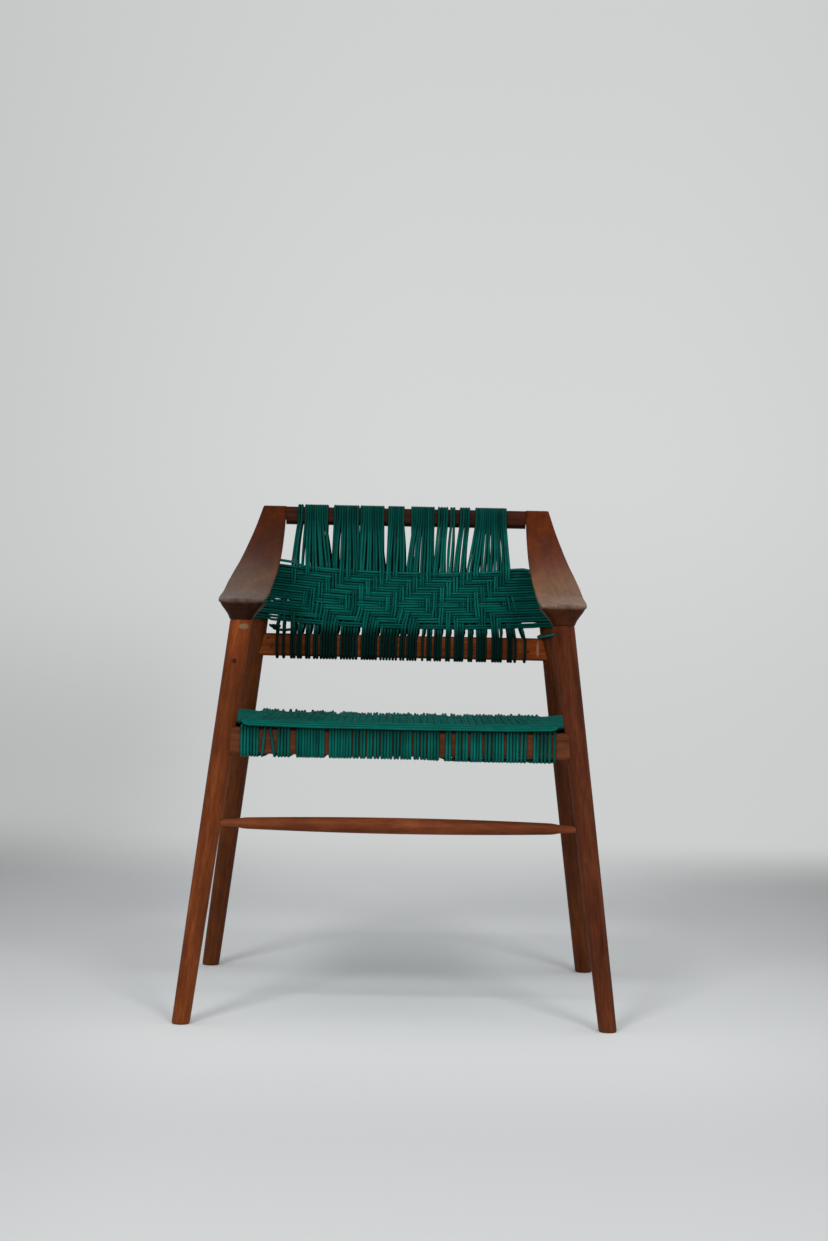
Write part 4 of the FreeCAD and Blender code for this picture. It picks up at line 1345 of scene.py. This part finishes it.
def cord_finish():
    """The material of all the cords."""
    known = bpy.data.materials.get("green_cord")
    if known:
        return known
    cord = bpy.context.scene.chair_cord
    return cord_material("green_cord", tuple(cord.dark), tuple(cord.light))


def half_cord():
    """Half the thickness of a cord, in millimetres."""
    return bpy.context.scene.chair_cord.diameter / 2 / MM


def wind(name, find_paths, node, seed, depth=None):
    """Make a piece of cords, each of a slightly different shade."""
    paths = find_paths(half_cord())
    rng = random.Random(seed)
    piece = tube_mesh(name, paths, half_cord(), [rng.random() for _ in paths], depth)
    dress(piece, cord_finish(), "cord", node)
    return {"FINISHED"}


class WOVEN_CHAIR_OT_rails(bpy.types.Operator):
    """Give the rails, the crest rail and the plug their grain and colour"""
    bl_idname = "woven_chair.rails"
    bl_label = "Rails and plug"

    def execute(self, context):
        for name, *wood in RAIL_WOODS:
            finishes = bpy.data.objects[name].data.materials
            finishes.clear()
            finishes.append(wood_material(*wood))
        return {"FINISHED"}


class WOVEN_CHAIR_OT_legs(bpy.types.Operator):
    """Turn the four splayed legs"""
    bl_idname = "woven_chair.legs"
    bl_label = "Legs"

    def execute(self, context):
        for name, leg, sign, *finish in LEG_FINISHES:
            piece = skin(name + "_turned", leg_rings(leg, sign))
            axis = (leg.top - leg.foot) * (sign, 1, 1)
            dress(piece, wood_material(name + "_wood", axis, *finish), "frame_wood", name)
        return {"FINISHED"}


class WOVEN_CHAIR_OT_arms(bpy.types.Operator):
    """Carve both arms, each with its neck over the front leg"""
    bl_idname = "woven_chair.arms"
    bl_label = "Arms"

    def execute(self, context):
        for name, sign, shades in ARM_FINISHES:
            blade = skin(name + "_carved", arm_blade_rings(sign))
            neck = skin(name + "_neck", arm_neck_rings(sign))
            fuse(blade, neck)
            material = wood_material(name + "_wood", ARM_GRAIN, shades, ARM_TONES, gloss=ARM_GLOSS)
            dress(blade, material, "frame_wood", name)
        return {"FINISHED"}


class WOVEN_CHAIR_OT_stretcher(bpy.types.Operator):
    """Turn the front stretcher"""
    bl_idname = "woven_chair.stretcher"
    bl_label = "Stretcher"

    def execute(self, context):
        piece = skin("front_stretcher_turned", stretcher_rings())
        material = wood_material("stretcher_wood", X_AXIS, STRETCHER_SHADES)
        dress(piece, material, "frame_wood", "front_stretcher")
        return {"FINISHED"}


class WOVEN_CHAIR_OT_back_uprights(bpy.types.Operator):
    """Wind the upright cords of the back round the crest rail and the lower rail"""
    bl_idname = "woven_chair.back_uprights"
    bl_label = "Upright back cords"

    def execute(self, context):
        return wind("back_upright_cords", back_upright_paths, "back_warp_cords", 21, back_painted_shade)


class WOVEN_CHAIR_OT_back_crossing(bpy.types.Operator):
    """Weave the cross cords of the back round both rear legs"""
    bl_idname = "woven_chair.back_crossing"
    bl_label = "Cross cords of the back"

    def execute(self, context):
        return wind("back_cross_cords", back_cross_paths, "back_weft_cords", 22, back_painted_shade)


class WOVEN_CHAIR_OT_seat_long(bpy.types.Operator):
    """Wind the front-to-back cords of the seat"""
    bl_idname = "woven_chair.seat_long"
    bl_label = "Long seat cords"

    def execute(self, context):
        return wind("seat_long_cords", seat_long_paths, "seat_warp_cords", 23, seat_painted_shade)


class WOVEN_CHAIR_OT_seat_crossing(bpy.types.Operator):
    """Weave the side-to-side cords of the seat"""
    bl_idname = "woven_chair.seat_crossing"
    bl_label = "Cross cords of the seat"

    def execute(self, context):
        return wind("seat_cross_cords", seat_cross_paths, "seat_weft_cords", 24)


class WOVEN_CHAIR_OT_loose_ends(bpy.types.Operator):
    """Tie the knot at the lower left of the back and the loose turn on the right rear leg"""
    bl_idname = "woven_chair.loose_ends"
    bl_label = "Knot and loose turn"

    def execute(self, context):
        half = half_cord()
        loop = [
            KNOT_MIDDLE + np.multiply(KNOT_SIZE, (
                1.1 * math.sin(t) + 2.1 * math.sin(2 * t),
                -1.2 * math.sin(3 * t),
                0.9 * math.cos(t) - 1.6 * math.cos(2 * t),
            ))
            for t in np.linspace(0, FULL_TURN, 48, endpoint=False)
        ]
        tail = [KNOT_MIDDLE + (-3.0 - 1.3 * k, -0.5 * k, 0.9 + 0.08 * k * k) for k in range(6)]
        lead = [
            KNOT_MIDDLE + (3.0 + 2.3 * k, 0.6 * k, -4.0 - 0.8 * math.sin(0.4 * k))
            for k in range(13)
        ]
        paths = [Path(loop, (0.0, 1.0, 0.2)), Path(tail, Z_AXIS, False), Path(lead, Z_AXIS, False)]
        # The knot is painted dark all over, as shade.
        knot = tube_mesh(
            "cord_knot_tied", paths, half * KNOT_SWELL, (0.0, 0.2, 0.4),
            lambda places: np.full(len(places), KNOT_PAINTED_SHADE),
        )
        dress(knot, cord_finish(), "cord", "cord_knot")

        leg = REAR_LEG.point(LOOSE_TURN_Z)
        reach = REAR_LEG.radii[1] + 2 * CLEARANCE + half
        points = [
            leg + np.multiply(reach, (dx, dy, 0.28 * dx + 0.1 * dy)) for dx, dy in circle(40)
        ]
        ring = tube_mesh("loose_turn_of_cord", [Path(points, Z_AXIS)], half, (1.0,))
        dress(ring, cord_finish(), "cord", "loose_cord_turn")
        return {"FINISHED"}


class WOVEN_CHAIR_OT_stage(bpy.types.Operator):
    """Set the floor, the backdrop, the lights and the camera"""
    bl_idname = "woven_chair.stage"
    bl_label = "Stage"

    def execute(self, context):
        scene = context.scene
        stage = scene.chair_stage
        self.add_paper(tuple(stage.floor))

        world = bpy.data.worlds.new("studio")
        scene.world = world
        world.use_nodes = True
        background = world.node_tree.nodes["Background"].inputs
        background["Color"].default_value = WORLD_COLOUR
        background["Strength"].default_value = WORLD_STRENGTH

        for name, power, place in LAMPS:
            light = bpy.data.lights.new(name, "AREA")
            light.shape = "RECTANGLE"
            light.size = light.size_y = LAMP_SIZE
            light.energy = power
            lamp = add_object(name, light)
            lamp.location = place
            aim = Vector(LAMP_TARGET) - Vector(place)
            lamp.rotation_euler = aim.to_track_quat("-Z", "Y").to_euler()

        camera = bpy.data.cameras.new("camera")
        camera.sensor_fit = "AUTO"
        camera.sensor_width = 36.0
        camera.lens = LENS
        camera.clip_end = 60.0
        scene.camera = add_object("camera", camera)
        scene.camera.location = (CAMERA_X, -stage.camera_distance, stage.camera_height)
        pitch = Matrix.Rotation(math.radians(CAMERA_PITCH), 4, "X")
        roll = Matrix.Rotation(math.radians(CAMERA_ROLL), 4, "Z")
        scene.camera.rotation_euler = (pitch @ roll).to_euler()
        scene.view_settings.view_transform = "Standard"
        return {"FINISHED"}

    @staticmethod
    def add_paper(tone):
        """Lay the paper on the floor and bend it up behind the chair."""
        bend = [(PAPER_BEND_Y + PAPER_BEND * math.sin(a), PAPER_BEND - PAPER_BEND * math.cos(a))
                for a in np.radians(np.linspace(6, 90, 15))]
        profile = [(PAPER_FRONT_Y, 0.0), (PAPER_BEND_Y, 0.0), *bend]
        profile += [(PAPER_BEND_Y + PAPER_BEND, PAPER_HEIGHT)]
        points = [(side * PAPER_WIDTH / 2, y, z) for y, z in profile for side in (-1, 1)]
        faces = [(k, k + 1, k + 3, k + 2) for k in range(0, len(points) - 2, 2)]
        sweep = add_mesh("sweep", points, faces)
        sweep.data.materials.append(paper_material(tone))


class WOVEN_CHAIR_PT_panel(bpy.types.Panel):
    """Lists the pieces of the woven chair"""
    bl_idname = "WOVEN_CHAIR_PT_panel"
    bl_label = "Woven chair"
    bl_space_type = "VIEW_3D"
    bl_region_type = "UI"
    bl_category = "Woven chair"

    def draw(self, context):
        for group in (context.scene.chair_cord, context.scene.chair_stage):
            for key in group.__annotations__:
                self.layout.prop(group, key)
        for operator in OPERATORS:
            self.layout.operator(operator.bl_idname)


GROUPS = (ChairCord, ChairStage)
OPERATORS = (
    WOVEN_CHAIR_OT_stage,
    WOVEN_CHAIR_OT_rails,
    WOVEN_CHAIR_OT_legs,
    WOVEN_CHAIR_OT_arms,
    WOVEN_CHAIR_OT_stretcher,
    WOVEN_CHAIR_OT_back_uprights,
    WOVEN_CHAIR_OT_back_crossing,
    WOVEN_CHAIR_OT_seat_long,
    WOVEN_CHAIR_OT_seat_crossing,
    WOVEN_CHAIR_OT_loose_ends,
)


def register():
    for item in GROUPS + OPERATORS + (WOVEN_CHAIR_PT_panel,):
        bpy.utils.register_class(item)
    bpy.types.Scene.chair_cord = bpy.props.PointerProperty(type=ChairCord)
    bpy.types.Scene.chair_stage = bpy.props.PointerProperty(type=ChairStage)


def unregister():
    del bpy.types.Scene.chair_stage
    del bpy.types.Scene.chair_cord
    for item in reversed(GROUPS + OPERATORS + (WOVEN_CHAIR_PT_panel,)):
        bpy.utils.unregister_class(item)


def main():
    register()
    bpy.ops.woven_chair.stage()
    bpy.ops.woven_chair.rails()
    bpy.ops.woven_chair.legs()
    bpy.ops.woven_chair.arms()
    bpy.ops.woven_chair.stretcher()
    bpy.ops.woven_chair.back_uprights()
    bpy.ops.woven_chair.back_crossing()
    bpy.ops.woven_chair.seat_long()
    bpy.ops.woven_chair.seat_crossing()
    bpy.ops.woven_chair.loose_ends()


if __name__ == "__main__":
    main()
